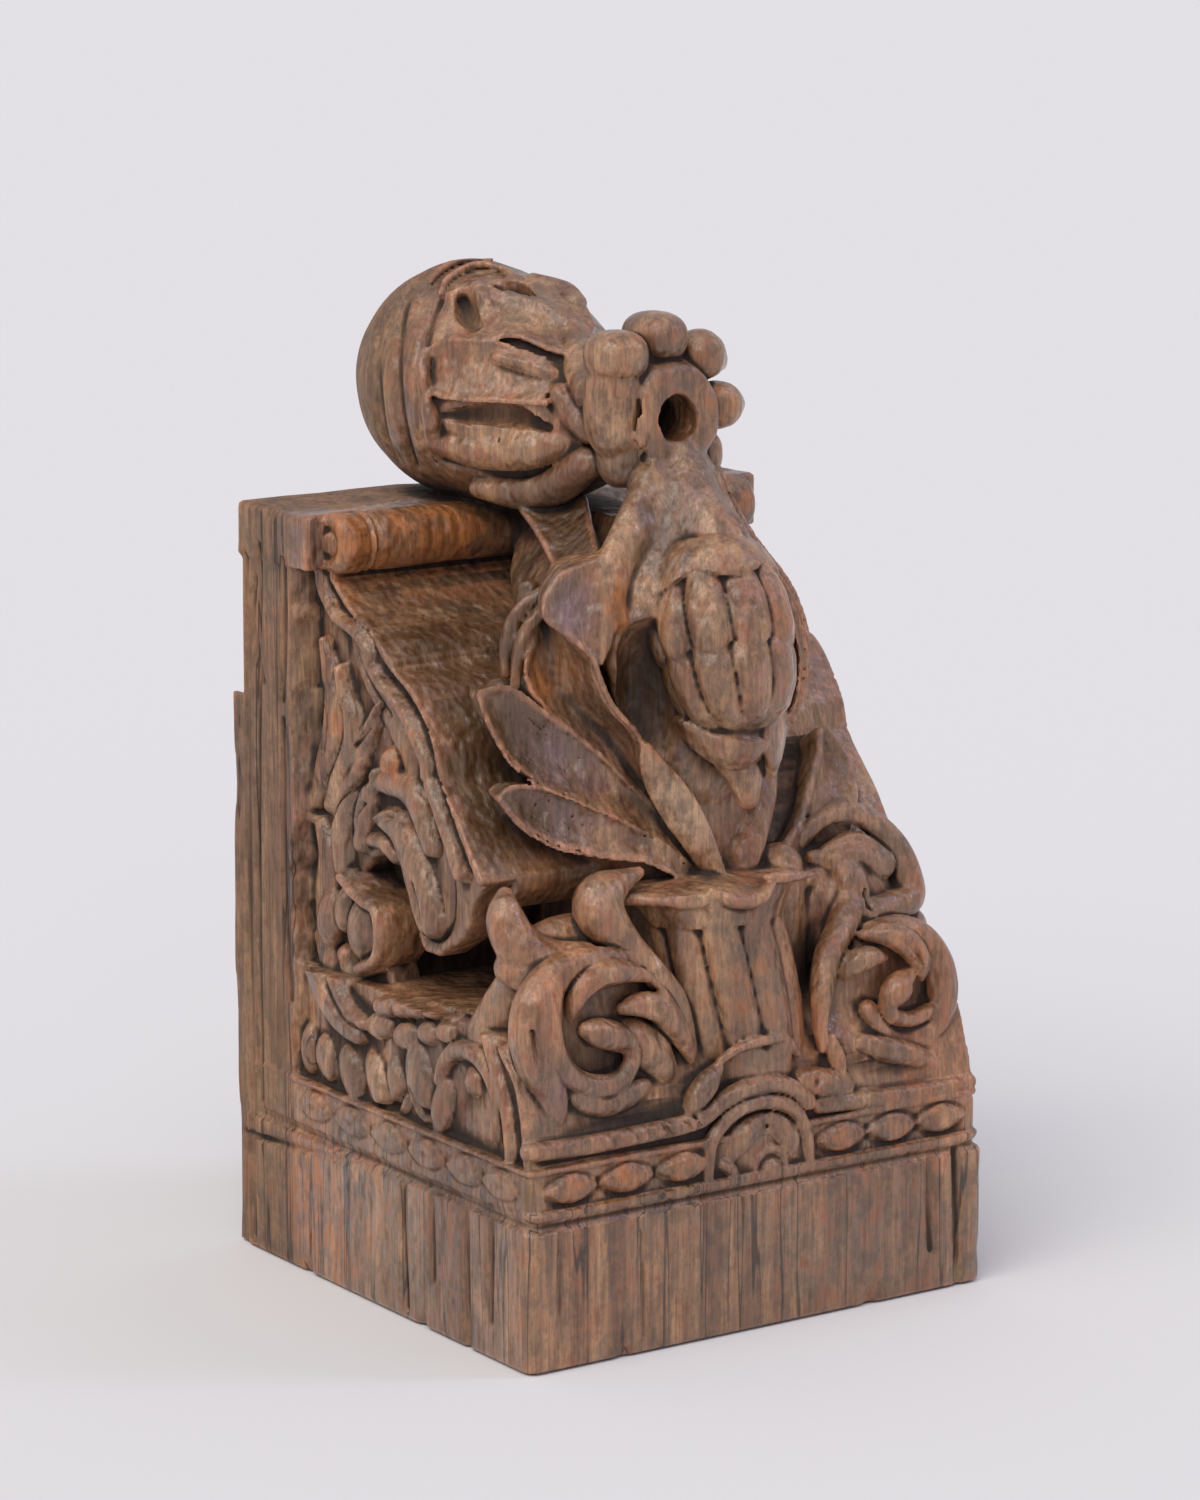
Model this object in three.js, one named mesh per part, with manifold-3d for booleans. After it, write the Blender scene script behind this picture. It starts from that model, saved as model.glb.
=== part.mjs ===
import * as THREE from 'three';
import { mergeVertices } from 'three/addons/utils/BufferGeometryUtils.js';
import Module from 'manifold-3d';

const wasm = await Module();
wasm.setup();

// A corbel bracket carved from one baulk of hardwood, in millimetres: +Z up, the front at -Y, and the
// origin at the middle of the underside.

// Driving dimensions of the timber.
const TIMBER_WIDTH = 200;
const TIMBER_DEPTH = 200;
const SLAB_TOP = 283;
const PLINTH_HEIGHT = 52;
const BAND_HEIGHT = 17;
const GROOVE_DEPTH = 2;
const ARRIS_RADIUS = 4;
const BACK_BOARD_THICKNESS = 8;
const BACK_BOARD_HEIGHT = 210;
const SIDE_PANEL_DEPTH = 10;
const MARGIN_DEPTH = 40;
const ROLL_RADIUS = 11;
const RECESS_FLOOR = 117;
const SCROLL_BEDDING = 3.8;

// Driving dimensions of the carving.
const VASE_HEIGHT = 62;
const VASE_RADIUS = 25;
const VASE_LIP_RADIUS = 38;
const BUD_LENGTH = 70;
const BUD_RADIUS = 25.5;
const ROSETTE_RADIUS = 27;
const KNOB_RADIUS = 9;
const BOSS_RADIUS = 20;
const BORE_RADIUS = 8;
const BORE_LENGTH = 26;
const BALL_RADIUS = 44;
const BALL_BEDDING = 3.25;
const LEAF_THICKNESS = 6;
const BEAD_RADIUS = 4;
const OVAL_LENGTH = 20;

const HALF_WIDTH = TIMBER_WIDTH / 2;
const HALF_DEPTH = TIMBER_DEPTH / 2;
const BAND_TOP = PLINTH_HEIGHT + BAND_HEIGHT;
const TIMBER_BACK = HALF_DEPTH - BACK_BOARD_THICKNESS;
const PANEL = HALF_WIDTH - SIDE_PANEL_DEPTH;
const SUNK = 0.4;

// The carving is drawn in shares of the timber: x and y in hundredths of its half width and half depth,
// z in hundredths of the height of the slab's top.
const at = (x, y, z) => new THREE.Vector3(x * HALF_WIDTH, y * HALF_DEPTH, z * SLAB_TOP).divideScalar(100);
const route = (rows) => rows.map((row) => at(...row));

// The carving's own thicknesses are drawn in millimetres for a slab whose top is at 283, and grow with it.
const STOUTNESS = SLAB_TOP / 283;
const stout = (x, y, z) => new THREE.Vector3(x, y, z).multiplyScalar(STOUTNESS);

// Turns a closed three.js geometry into a solid.
function solid(geometry) {
  const bare = geometry.index ? geometry.clone() : geometry;
  bare.deleteAttribute('normal');
  bare.deleteAttribute('uv');
  const merged = mergeVertices(bare, 1e-4);
  const mesh = new wasm.Mesh({
    numProp: 3,
    vertProperties: merged.attributes.position.array,
    triVerts: Uint32Array.from(merged.index.array),
  });
  return new wasm.Manifold(mesh);
}

// Moves every corner of a geometry by a rule.
function reshape(geometry, rule) {
  const place = geometry.attributes.position;
  for (let i = 0; i < place.count; i += 1) {
    const moved = rule(new THREE.Vector3().fromBufferAttribute(place, i));
    place.setXYZ(i, moved.x, moved.y, moved.z);
  }
  return geometry;
}

// Reads a list of numbers as a smooth curve and gives its value at a share t.
function along(values, t) {
  const last = values.length - 1;
  const place = Math.min(Math.max(t, 0), 1) * last;
  const step = Math.min(Math.floor(place), last - 1);
  return THREE.MathUtils.lerp(values[step], values[step + 1], place - step);
}

// A board: an outline in the Y-Z plane, carried across from one X to another.
function board(outline, fromX, toX, curveSegments = 3) {
  const geometry = new THREE.ExtrudeGeometry(outline, {
    depth: toX - fromX,
    bevelEnabled: false,
    curveSegments,
  });
  return solid(reshape(geometry, (p) => new THREE.Vector3(fromX + p.z, p.x, p.y)));
}

// A slab with rounded upright arrises, from one height to another, set in from the timber's faces.
function course(low, high, inset, back = TIMBER_BACK) {
  const wide = HALF_WIDTH - inset;
  const front = -HALF_DEPTH + inset;
  const r = ARRIS_RADIUS;
  const outline = new THREE.Shape();
  outline.moveTo(-wide + r, front);
  outline.lineTo(wide - r, front);
  outline.quadraticCurveTo(wide, front, wide, front + r);
  outline.lineTo(wide, back);
  outline.lineTo(-wide, back);
  outline.lineTo(-wide, front + r);
  outline.quadraticCurveTo(-wide, front, -wide + r, front);
  const geometry = new THREE.ExtrudeGeometry(outline, {
    depth: high - low,
    bevelEnabled: false,
    curveSegments: 2,
  });
  return solid(geometry.translate(0, 0, low));
}

function box(low, high) {
  const size = high.clone().sub(low);
  const middle = low.clone().add(high).multiplyScalar(0.5);
  return solid(new THREE.BoxGeometry(size.x, size.y, size.z).translate(middle.x, middle.y, middle.z));
}

// A carved strand: a rod along a curve, thick and thin by a list of radii.
function strand(points, radii, { sides = 5, steps = Math.round(points.length * 1.2), scale = STOUTNESS } = {}) {
  const curve = new THREE.CatmullRomCurve3(points);
  const frames = curve.computeFrenetFrames(steps);
  const tube = new THREE.CylinderGeometry(1, 1, 1, sides, steps);
  return solid(reshape(tube, (p) => {
    const t = 0.5 - p.y;
    const i = Math.round(t * steps);
    const r = along(radii, t) * scale;
    const offset = frames.normals[i].clone().multiplyScalar(p.x * r)
      .addScaledVector(frames.binormals[i], p.z * r);
    return curve.getPointAt(t).add(offset);
  }));
}

// A cupped leaf: a thin plate along a curve, its rims raised by a cup towards the front.
function leaf(points, halfWidths, cups, { steps = 7, lift = at(0, -100, 0) } = {}) {
  const curve = new THREE.CatmullRomCurve3(points);
  const front = lift.clone().normalize();
  const plate = new THREE.BoxGeometry(1, 1, 1, steps, 2, 1);
  return solid(reshape(plate, (p) => {
    const t = p.x + 0.5;
    const across = p.y * 2;
    const tangent = curve.getTangentAt(t);
    const side = new THREE.Vector3().crossVectors(front, tangent).normalize();
    const half = along(halfWidths, t) * STOUTNESS;
    const rise = along(cups, t) * STOUTNESS * across * across + (p.z - 0.5) * LEAF_THICKNESS;
    return curve.getPointAt(t).addScaledVector(side, across * half).addScaledVector(front, rise);
  }));
}

// A knob: a ball squashed to three half sizes.
function knob(centre, half, sides = 7) {
  const ball = new THREE.SphereGeometry(1, sides, Math.round(sides * 0.6));
  return solid(ball.scale(half.x, half.y, half.z).translate(centre.x, centre.y, centre.z));
}

// Corners down the front of the lower block, from the ledge to the top of the band, set in from its face.
function lowerFront(inset) {
  return [[-62, 0], [-72, 0.04], [-82, 0.17], [-90, 0.33], [-95, 0.58], [-98, 0.88]].map(([y, t]) => new THREE.Vector2(
    at(0, y, 0).y + inset,
    THREE.MathUtils.lerp(RECESS_FLOOR, BAND_TOP, t),
  ));
}

// The side outline of the timber: slab, cove, long S to the nose, the recess below it and its lower front.
function sideOutline() {
  const s = (y, z) => new THREE.Vector2((y * HALF_DEPTH) / 100, (z * SLAB_TOP) / 100);
  const line = new THREE.Shape();
  line.moveTo(TIMBER_BACK - SUNK, BAND_TOP - SUNK);
  line.lineTo(TIMBER_BACK - SUNK, SLAB_TOP - SUNK);
  line.lineTo(s(42, 0).x, SLAB_TOP - SUNK);
  line.splineThru([s(42, 90.5), s(28.6, 87.3), s(13.5, 84.8), s(2.4, 82.2)]);
  line.splineThru([s(-6.5, 80.3), s(-16.5, 76), s(-25, 71.5), s(-30, 68)]);
  line.splineThru([s(-37, 66), s(-46, 61.8), s(-54, 58.5)]);
  line.lineTo(s(-50, 53.5).x, s(0, 53.5).y);
  line.splineThru([s(-36, 51), s(-20, 52.5), s(0, 54), s(12, 47)]);
  line.lineTo(s(13, 0).x, RECESS_FLOOR);
  const front = lowerFront(SUNK);
  line.lineTo(front[0].x, front[0].y);
  line.splineThru(front.slice(1));
  line.lineTo(front[front.length - 1].x, BAND_TOP - SUNK);
  return line;
}

// Base, band, body, side margins, top slab, roll and the loose-looking board at the back.
function timber() {
  const groove = PLINTH_HEIGHT + GROOVE_DEPTH * 1.5;
  let body = course(0, PLINTH_HEIGHT, 0)
    .add(course(PLINTH_HEIGHT - SUNK, groove, GROOVE_DEPTH * 1.5))
    .add(course(groove - SUNK, BAND_TOP, GROOVE_DEPTH * 0.75));
  body = body.add(board(sideOutline(), -PANEL, PANEL, 2));

  const lower = new THREE.Shape();
  lower.moveTo(TIMBER_BACK - 1, BAND_TOP - 1);
  lower.lineTo(TIMBER_BACK - 1, RECESS_FLOOR);
  const front = lowerFront(0);
  lower.lineTo(front[0].x, front[0].y);
  lower.splineThru(front.slice(1));
  lower.lineTo(front[front.length - 1].x, BAND_TOP - 1);
  const wide = HALF_WIDTH - GROOVE_DEPTH * 2;
  body = body.add(board(lower, -wide, wide, 2));

  const marginFront = TIMBER_BACK - MARGIN_DEPTH;
  const marginTop = SLAB_TOP - ROLL_RADIUS * 2;
  body = body.add(box(
    new THREE.Vector3(-HALF_WIDTH + 1, marginFront, BAND_TOP - 1),
    new THREE.Vector3(HALF_WIDTH - 1, TIMBER_BACK - 1, marginTop),
  ));
  const rollY = at(0, 42, 0).y;
  body = body.add(box(
    new THREE.Vector3(-HALF_WIDTH, rollY, marginTop - 1),
    new THREE.Vector3(HALF_WIDTH, TIMBER_BACK - 3, SLAB_TOP),
  ));
  body = body.add(box(
    new THREE.Vector3(-HALF_WIDTH + 1, TIMBER_BACK - 3, 0),
    new THREE.Vector3(HALF_WIDTH - 1, HALF_DEPTH, BACK_BOARD_HEIGHT),
  ));

  const end = PANEL + 2;
  const roll = [[0, -end], [ROLL_RADIUS * 0.55, -end], [ROLL_RADIUS * 0.7, -end + 3], [ROLL_RADIUS, -end + 3],
    [ROLL_RADIUS, -end + 9], [ROLL_RADIUS * 0.86, -end + 11], [ROLL_RADIUS, -end + 13]];
  const profile = roll.concat(roll.slice().reverse().map(([r, x]) => [r, -x]));
  const bar = new THREE.LatheGeometry(profile.map(([r, x]) => new THREE.Vector2(r, x)), 12);
  reshape(bar, (p) => new THREE.Vector3(p.y, rollY + p.x, SLAB_TOP - ROLL_RADIUS - p.z));
  return body.add(solid(bar));
}

// The web behind the stem, which ties the vase, bud and neck to the body.
function web() {
  const rows = [
    [25, 26, -78, 14], [38, 26, -76, 14], [56, 24, -70, 14], [64, 26, -66, -20], [72, 34, -62, -12],
    [80, 40, -60, 6], [86, 42, -58, 16], [91, 34, -56, 30], [96, 20, -52, 38], [100, 13, -46, 44],
  ];
  const column = new THREE.CylinderGeometry(1, 1, 1, 8, rows.length - 1);
  return solid(reshape(column, (p) => {
    const [z, half, front, back] = rows[Math.round((p.y + 0.5) * (rows.length - 1))];
    const square = Math.max(Math.abs(p.x), Math.abs(p.z), 1e-6);
    const blend = THREE.MathUtils.lerp(1, Math.hypot(p.x, p.z) / square, 0.5);
    const depth = (back - front) / 2;
    return at(2 + p.x * half * blend, (front + back) / 2 - p.z * depth * blend, z);
  }));
}

// The vase, with upright lobes and a wide scalloped lip, leaning back as it rises.
function vase() {
  const rise = [[0, 0], [0.8, 0], [0.9, 0.06], [0.97, 0.3], [1, 0.6], [0.96, 0.72]]
    .map(([r, z]) => [r * VASE_RADIUS, z * VASE_HEIGHT]);
  const lip = [[0.72, 0.78], [0.94, 0.86], [1, 0.93], [0.78, 1], [0, 1]]
    .map(([r, z]) => [r * VASE_LIP_RADIUS, z * VASE_HEIGHT]);
  const profile = rise.concat(lip).map(([r, z]) => new THREE.Vector2(r, z));
  const foot = at(4, -83, 34);
  const lean = at(0, 15, 0).y;
  return solid(reshape(new THREE.LatheGeometry(profile, 18), (p) => {
    const turn = Math.atan2(p.z, p.x);
    const t = p.y / VASE_HEIGHT;
    const lobe = t < 0.75 ? 1 - 0.1 * (1 - Math.abs(Math.sin(turn * 4.5))) : 1 + 0.06 * Math.cos(turn * 6);
    return new THREE.Vector3(foot.x + p.x * lobe, foot.y + lean * t - p.z * lobe * 0.66, foot.z + p.y);
  }));
}

// The bud: two rows of fat lobes on a leaning egg, with a torn stub of stalk under it.
function bud() {
  const centre = at(4, -73, 84.8);
  const lean = at(0, 34, 0).y / BUD_LENGTH;
  const egg = solid(reshape(new THREE.SphereGeometry(1, 20, 8), (p) => {
    const turn = Math.atan2(p.z, p.x);
    const row = p.y > 0.1 ? 0 : 0.5;
    const lobe = 1 - 0.12 * (1 - Math.abs(Math.cos((turn * 5) + row * Math.PI)));
    const waist = 1 - 0.06 * Math.exp(-((p.y - 0.1) ** 2) / 0.01);
    const z = (p.y * BUD_LENGTH) / 2;
    const r = BUD_RADIUS * lobe * waist;
    return new THREE.Vector3(centre.x + p.x * r, centre.y + z * lean * 0.6 - p.z * r * 0.85, centre.z + z);
  }));
  const stub = strand(route([[3, -78, 75.5], [4, -79.5, 71.5], [6, -80, 66.8]]), [10, 8, 3], { steps: 4 });
  return egg.add(stub);
}

// Neck and calyx: the stem swells from the rosette down over the bud, with leaf ridges on it.
function calyx() {
  const rows = [
    [108.5, 14, -37, 9], [105.5, 17, -43, 12], [102, 20, -47, 15], [98, 27, -51, 18], [94, 35, -55, 21],
    [89, 41, -58, 22], [84, 41, -58, 20], [79, 37, -58, 17], [74, 30, -62, 12], [68, 20, -66, 10],
  ];
  const last = rows.length - 1;
  const body = new THREE.CylinderGeometry(1, 1, 1, 12, last);
  const swell = solid(reshape(body, (p) => {
    const [z, half, y, deep] = rows[Math.round((0.5 - p.y) * last)];
    const turn = Math.atan2(p.z, p.x);
    const fold = 1 - 0.07 * (1 - Math.abs(Math.cos(turn * 3)));
    return at(1 + p.x * half * fold, y - p.z * deep * fold, z);
  }));
  return [-1, 1].reduce((sum, way) => sum
    .add(strand(route([[2 + way * 4, -59, 108], [way * 16, -66, 99], [way * 30, -74, 89], [way * 33, -76, 80],
      [way * 22, -80, 72]]), [3, 5, 7, 6, 2], { sides: 4 }))
    .add(strand(route([[way * 14, -50, 106], [way * 28, -56, 97], [way * 40, -60, 87], [way * 37, -64, 78],
      [way * 24, -70, 69]]), [3, 5, 6, 5, 2], { sides: 4 })), swell);
}

// The rosette: a faceted boss with an empty peg hole, and a ring of knobbed petals, two of them torn off.
function rosette() {
  const centre = at(2, -34, 114);
  const middle = at(2, -40, 113);
  const front = at(0, -46, 0).y;
  const stalk = strand(route([[0, 6, 111.6], [2, -28, 113.2]]), [21, 21], { sides: 7, steps: 1 });
  const boss = new THREE.CylinderGeometry(BOSS_RADIUS * 0.86, BOSS_RADIUS, 1, 8, 1).rotateX(Math.PI / 2);
  const back = at(0, -12, 0).y;
  reshape(boss, (p) => new THREE.Vector3(middle.x + p.x, THREE.MathUtils.lerp(front, back, 0.5 - p.z),
    middle.z + p.y));
  let flower = stalk.add(solid(boss));
  for (const turn of [135, 94, 48, 2, -40, -118]) {
    const angle = THREE.MathUtils.degToRad(turn);
    const tip = new THREE.Vector3(centre.x + Math.cos(angle) * ROSETTE_RADIUS, centre.y - 2,
      centre.z + Math.sin(angle) * ROSETTE_RADIUS * 0.96);
    flower = flower.add(strand([centre.clone(), tip.clone()], [8, 7], { sides: 4, steps: 1 }))
      .add(knob(tip, new THREE.Vector3(KNOB_RADIUS, KNOB_RADIUS * 1.1, KNOB_RADIUS), 6));
  }
  const bore = new THREE.CylinderGeometry(BORE_RADIUS, BORE_RADIUS, BORE_LENGTH * 2, 10)
    .translate(middle.x, front, middle.z);
  return flower.subtract(solid(bore));
}

// The crown bud lying on the slab: a stepped dome at the back and long petals closing on the rosette, with
// its axis dropping a little and drawing to the right as it comes forward.
function crown() {
  const centre = at(-13, 71, 0).setZ(SLAB_TOP + BALL_RADIUS - BALL_BEDDING);
  const droop = 0.12;
  const drift = 0.05;
  const steps = [[0, 1], [0.56, 0.82], [0.58, 0.76], [0.82, 0.56], [0.84, 0.48], [0.97, 0.24], [1, 0.1],
    [0.98, -0.25], [0.93, -0.63], [0.77, -1.19], [0.55, -1.74], [0, -2]];
  const profile = steps.map(([r, y]) => new THREE.Vector2(r, -y));
  return solid(reshape(new THREE.LatheGeometry(profile, 16), (p) => {
    const turn = Math.atan2(p.z, p.x);
    const petal = p.y > -0.15 ? 1 - 0.1 * (1 - Math.abs(Math.cos(turn * 4))) : 1;
    const ahead = Math.max(p.y, 0);
    return new THREE.Vector3(p.x * petal + ahead * drift, -p.y, -p.z * petal - ahead * droop)
      .multiplyScalar(BALL_RADIUS).add(centre);
  }));
}

// Leaves on both sides of the stem; the right hand side has only the low one.
function leaves() {
  const front = new THREE.Vector3(-0.15, -0.8, 0.55);
  return [
    leaf(route([[-55, -40, 91.5], [-53, -44, 84], [-42, -50, 75], [-25, -58.5, 68], [-6, -68, 62], [4, -70, 55]]),
      [3, 14, 13, 9, 5, 3], [4, 10, 9, 6, 3, 1], { lift: front }),
    leaf(route([[-84, -42, 81], [-71, -45, 77], [-52, -50, 71.5], [-34, -57, 66.5], [-12, -66, 61], [4, -70, 55]]),
      [1, 10, 10, 8, 5, 2], [1, 4, 4, 3, 2, 1], { lift: front }),
    leaf(route([[-84, -53, 69.3], [-70, -54, 66.5], [-53, -57, 64.5], [-35, -61, 62], [-14, -67, 58], [2, -70, 55]]),
      [1, 8, 9, 8, 5, 3], [1, 3, 3, 3, 2, 1], { lift: front }),
    leaf(route([[70, -38, 70], [67, -44, 64], [56, -53, 59], [40, -62, 55.5], [20, -68, 54]]),
      [2, 9, 9, 7, 4], [1, 3, 3, 2, 1], { lift: new THREE.Vector3(0.15, -0.8, 0.55) }),
    strand(route([[-32, -68, 75], [-26, -73, 69], [-12, -75, 63], [0, -73, 56]]), [4, 6, 6, 4]),
    strand(route([[-50, -8, 93], [-54, -16, 87], [-52, -26, 79], [-44, -36, 74]]), [7, 9, 9, 6]),
    strand(route([[-60, -22, 79], [-44, -40, 70], [-22, -52, 63], [-2, -62, 56]]), [6, 9, 9, 9]),
    strand(route([[-66, -40, 67], [-40, -50, 62], [-10, -60, 56]]), [5, 8, 9]),
    strand(route([[34, -40, 76], [28, -55, 68], [16, -66, 60], [6, -70, 54]]), [7, 8, 7, 5]),
  ];
}

// One curling leaf scroll beside the vase. The way is -1 on the left and +1 on the right.
function scroll(way, middle) {
  const coil = [[-38, -90, -15], [-36, -90, 6], [-20, -90, 24], [-1, -89, 29], [21, -87, 25], [33, -86, 10],
    [28, -88, -8], [8, -91, -20], [-11, -92, -15], [-18, -92, -3], [-12, -92, 9], [2, -92, 13], [12, -92, 6],
    [10, -92, -4], [0, -92, -7]];
  const place = ([x, y, z]) => at(middle.x + way * x, y, middle.z + z / 2.83);
  return strand(coil.map(place), [5, 7, 8, 7, 6, 6, 6, 5, 5, 5, 5, 4, 5, 5, 3], { steps: 20 })
    .add(knob(place([0, -86, 0]), stout(30, 8, 22), 8))
    .add(strand([[-30, -94, -26], [-8, -95, -24], [14, -95, -28]].map(place), [3, 7, 3], { steps: 6 }));
}

function scrolls() {
  const stump = (x, y, tip, radii) => strand([at(x, y, 0).setZ(RECESS_FLOOR - SCROLL_BEDDING), at(...tip)], radii);
  return [
    scroll(-1, { x: -60, z: 40 }),
    scroll(1, { x: 72, z: 39.8 }),
    strand(route([[-34, -72, 59.5], [-46, -75, 59.4], [-56, -76, 56.5], [-55, -78, 52], [-44, -82, 48.5],
      [-30, -86, 43], [-22, -89, 36]]), [1, 5, 8, 8, 8, 6, 4]),
    strand(route([[-90, -64, 59.5], [-93, -68, 55], [-90, -72, 50.5], [-80, -76, 48.5], [-66, -80, 49]]),
      [2, 6, 8, 8, 7]),
    strand(route([[36, -82, 38], [40, -80, 46], [44, -74, 53], [54, -68, 58.5], [70, -66, 59.2], [84, -67, 55.5],
      [90, -70, 51], [92, -76, 47]]), [5, 6, 7, 8, 7, 7, 7, 6]),
    strand(route([[50, -70, 54], [62, -72, 53.5], [74, -76, 49]]), [5, 7, 7]),
    stump(-84, -58, [-84, -68, 46], [11, 8]),
    stump(-44, -56, [-42, -72, 46], [12, 8]),
    stump(50, -56, [48, -72, 46], [11, 7]),
    stump(84, -56, [86, -70, 46], [10, 7]),
  ];
}

// The arched medallion under the vase, the leaf dome above it and the ridge that runs over both.
function medallion() {
  const face = -93;
  const wave = [[-94, 25.3], [-60, 25.6], [-30, 25.4], [-18, 27.6], [-8, 30.6], [4, 31.8], [16, 30.4], [26, 27.2],
    [36, 25.4], [64, 25.6], [94, 25.3]].map(([x, z]) => at(x, face, z));
  const parts = [
    strand(wave, [4, 4, 4, 4.5, 4.5, 4.5, 4.5, 4, 4, 4, 4], { sides: 4, steps: 11 }),
    strand(route([[-16, face, 20], [-13, face, 25], [4, face, 28.6], [21, face, 25], [24, face, 20]]),
      [4, 4, 4, 4, 4], { sides: 4, steps: 7 }),
    knob(at(-5, face, 24), stout(6, 5, 8)),
    knob(at(13, face, 24), stout(6, 5, 8)),
    knob(at(4, face, 20.5), stout(9, 5, 5)),
    knob(at(4, -90, 33.5), stout(14, 9, 12)),
    knob(at(-17, -92, 30.5), stout(8, 7, 10)),
    knob(at(26, -92, 30), stout(8, 7, 9)),
  ];
  return parts;
}

// Almond ovals along the band, on the front beside the medallion and along each side.
function ovals() {
  const middle = PLINTH_HEIGHT + BAND_HEIGHT * 0.6;
  const long = OVAL_LENGTH * 0.5;
  const high = BAND_HEIGHT * 0.4;
  const stone = (x, y, lengthwise) => solid(new THREE.OctahedronGeometry(1)
    .scale(lengthwise ? long : GROOVE_DEPTH, lengthwise ? GROOVE_DEPTH : long, high)
    .translate(x, y, middle));
  const parts = [];
  for (let x = OVAL_LENGTH * 1.4; x < HALF_WIDTH - OVAL_LENGTH * 0.4; x += OVAL_LENGTH * 1.15) {
    parts.push(stone(x + 8, -HALF_DEPTH + GROOVE_DEPTH, true), stone(-x, -HALF_DEPTH + GROOVE_DEPTH, true));
  }
  for (let y = -HALF_DEPTH + OVAL_LENGTH; y < TIMBER_BACK - MARGIN_DEPTH; y += OVAL_LENGTH * 1.4) {
    parts.push(stone(HALF_WIDTH - GROOVE_DEPTH, y, false), stone(-HALF_WIDTH + GROOVE_DEPTH, y, false));
  }
  return parts;
}

// One carved side: the bead down the S, the tongue at the nose, the volute, the ledge and the flame leaves.
function side(way) {
  const x = (PANEL / HALF_WIDTH) * 100 * way;
  const on = (rows, out = 2) => rows.map(([y, z]) => at(x + out * way, y, z));
  const tongue = new THREE.Shape(on([[-50, 57.8], [-42, 55.5], [-41.7, 53.7], [-34, 50.5], [-20.5, 47], [-9.9, 48.6],
    [-5.5, 53], [-1, 56.2], [8, 58], [0, 64], [-30, 66], [-44, 60]]).map((p) => new THREE.Vector2(p.y, p.z)));
  const out = PANEL + SIDE_PANEL_DEPTH * 0.4;
  const fins = [
    [[36, 57], [42, 66], [34, 75], [38, 84]],
    [[26, 57], [30, 66], [20, 74], [24, 83]],
    [[16, 58], [16, 66], [6, 72], [8, 80]],
    [[4, 60], [2, 66], [-8, 70], [-12, 75]],
    [[46, 46], [50, 58], [46, 70], [50, 82]],
    [[-8, 58], [-16, 62], [-28, 65], [-36, 65]],
  ].slice(0, way < 0 ? 6 : 2).map((rows) => strand(on(rows, -1), [4, 7, 6, 2], { sides: 4, steps: 5 }));
  const low = [[-84, 30], [-60, 31.5], [-36, 31], [-12, 31], [12, 31], [34, 31.5]].slice(0, way < 0 ? 6 : 3)
    .map(([y, z]) => knob(at((HALF_WIDTH - GROOVE_DEPTH * 2) * way, y, z), stout(3, 10, 10), 6));
  return [
    strand(on([[44, 92], [44, 87.6], [29, 85.5], [14, 83], [11, 81], [-2.5, 78.3], [-15, 75], [-22, 71],
      [-23, 68.6], [-33, 64.5], [-42, 59.4], [-46, 58]]), [5, 5, 5, 5, 4, 5, 5, 5, 4, 5, 5, 4]
      .map((r) => (r * BEAD_RADIUS) / 4), { sides: 4, steps: 14, scale: 1 }),
    way < 0 ? board(tongue, -out, -PANEL + 20, 1) : board(tongue, PANEL - 20, out, 1),
    knob(at(x, 17, 47.5), stout(6, 14, 14), 7),
    strand(on([[38, 56], [42, 48], [34, 41], [18, 38.5], [0, 42], [-2, 47], [4, 52]], 0), [5, 6, 6, 6, 6, 5, 3]),
    strand(on([[10, 40.3], [-20, 40.3], [-58, 41]], 4), [5, 5, 4], { steps: 6 }),
    knob(at(x, -2, 71.5), stout(7, 6, 7), 8),
    strand(on([[-62, 38], [-76, 34], [-87, 28], [-91, 25]], 4), [5, 6, 6, 5]),
    ...fins,
    ...low,
  ];
}

let corbel = timber().add(web()).add(vase()).add(calyx()).add(bud()).add(crown()).add(rosette());
for (const piece of [...leaves(), ...scrolls(), ...medallion(), ...ovals(), ...side(-1), ...side(1)]) {
  corbel = corbel.add(piece);
}
const top = SLAB_TOP + BALL_RADIUS * 2;
corbel = corbel.intersect(box(
  new THREE.Vector3(-HALF_WIDTH, -HALF_DEPTH, 0),
  new THREE.Vector3(HALF_WIDTH, HALF_DEPTH, top),
));

// The finished solid as a three.js mesh.
function finished(name, shape, look) {
  const { numProp, vertProperties, triVerts } = shape.getMesh();
  const geometry = new THREE.BufferGeometry();
  const place = new Float32Array((vertProperties.length / numProp) * 3);
  for (let i = 0; i < place.length / 3; i += 1) {
    place.set(vertProperties.subarray(i * numProp, i * numProp + 3), i * 3);
  }
  geometry.setAttribute('position', new THREE.BufferAttribute(place, 3));
  geometry.setIndex(new THREE.BufferAttribute(Uint32Array.from(triVerts), 1));
  geometry.computeVertexNormals();
  const mesh = new THREE.Mesh(geometry, new THREE.MeshStandardMaterial(look));
  mesh.name = name;
  return mesh;
}

const bracket = new THREE.Group();
bracket.add(finished('corbel_bracket', corbel, { color: 0x6b4d38, roughness: 0.62, metalness: 0 }));

export default bracket;
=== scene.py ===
"""An old carved corbel bracket, cut from one baulk of hardwood, on a pale floor in soft light.

The carving is cut in a block of distances, as a carver cuts a baulk: masses first, then strands, leaves
and lobes, then grooves, cracks and wear. Hollows, undercuts and torn petals of one block come out whole
that way. Sizes in the classes are millimetres; the finished mesh is in metres.
"""

import logging
import math
from dataclasses import dataclass, field
from enum import Enum
from typing import Callable, Iterable, Sequence

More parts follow.
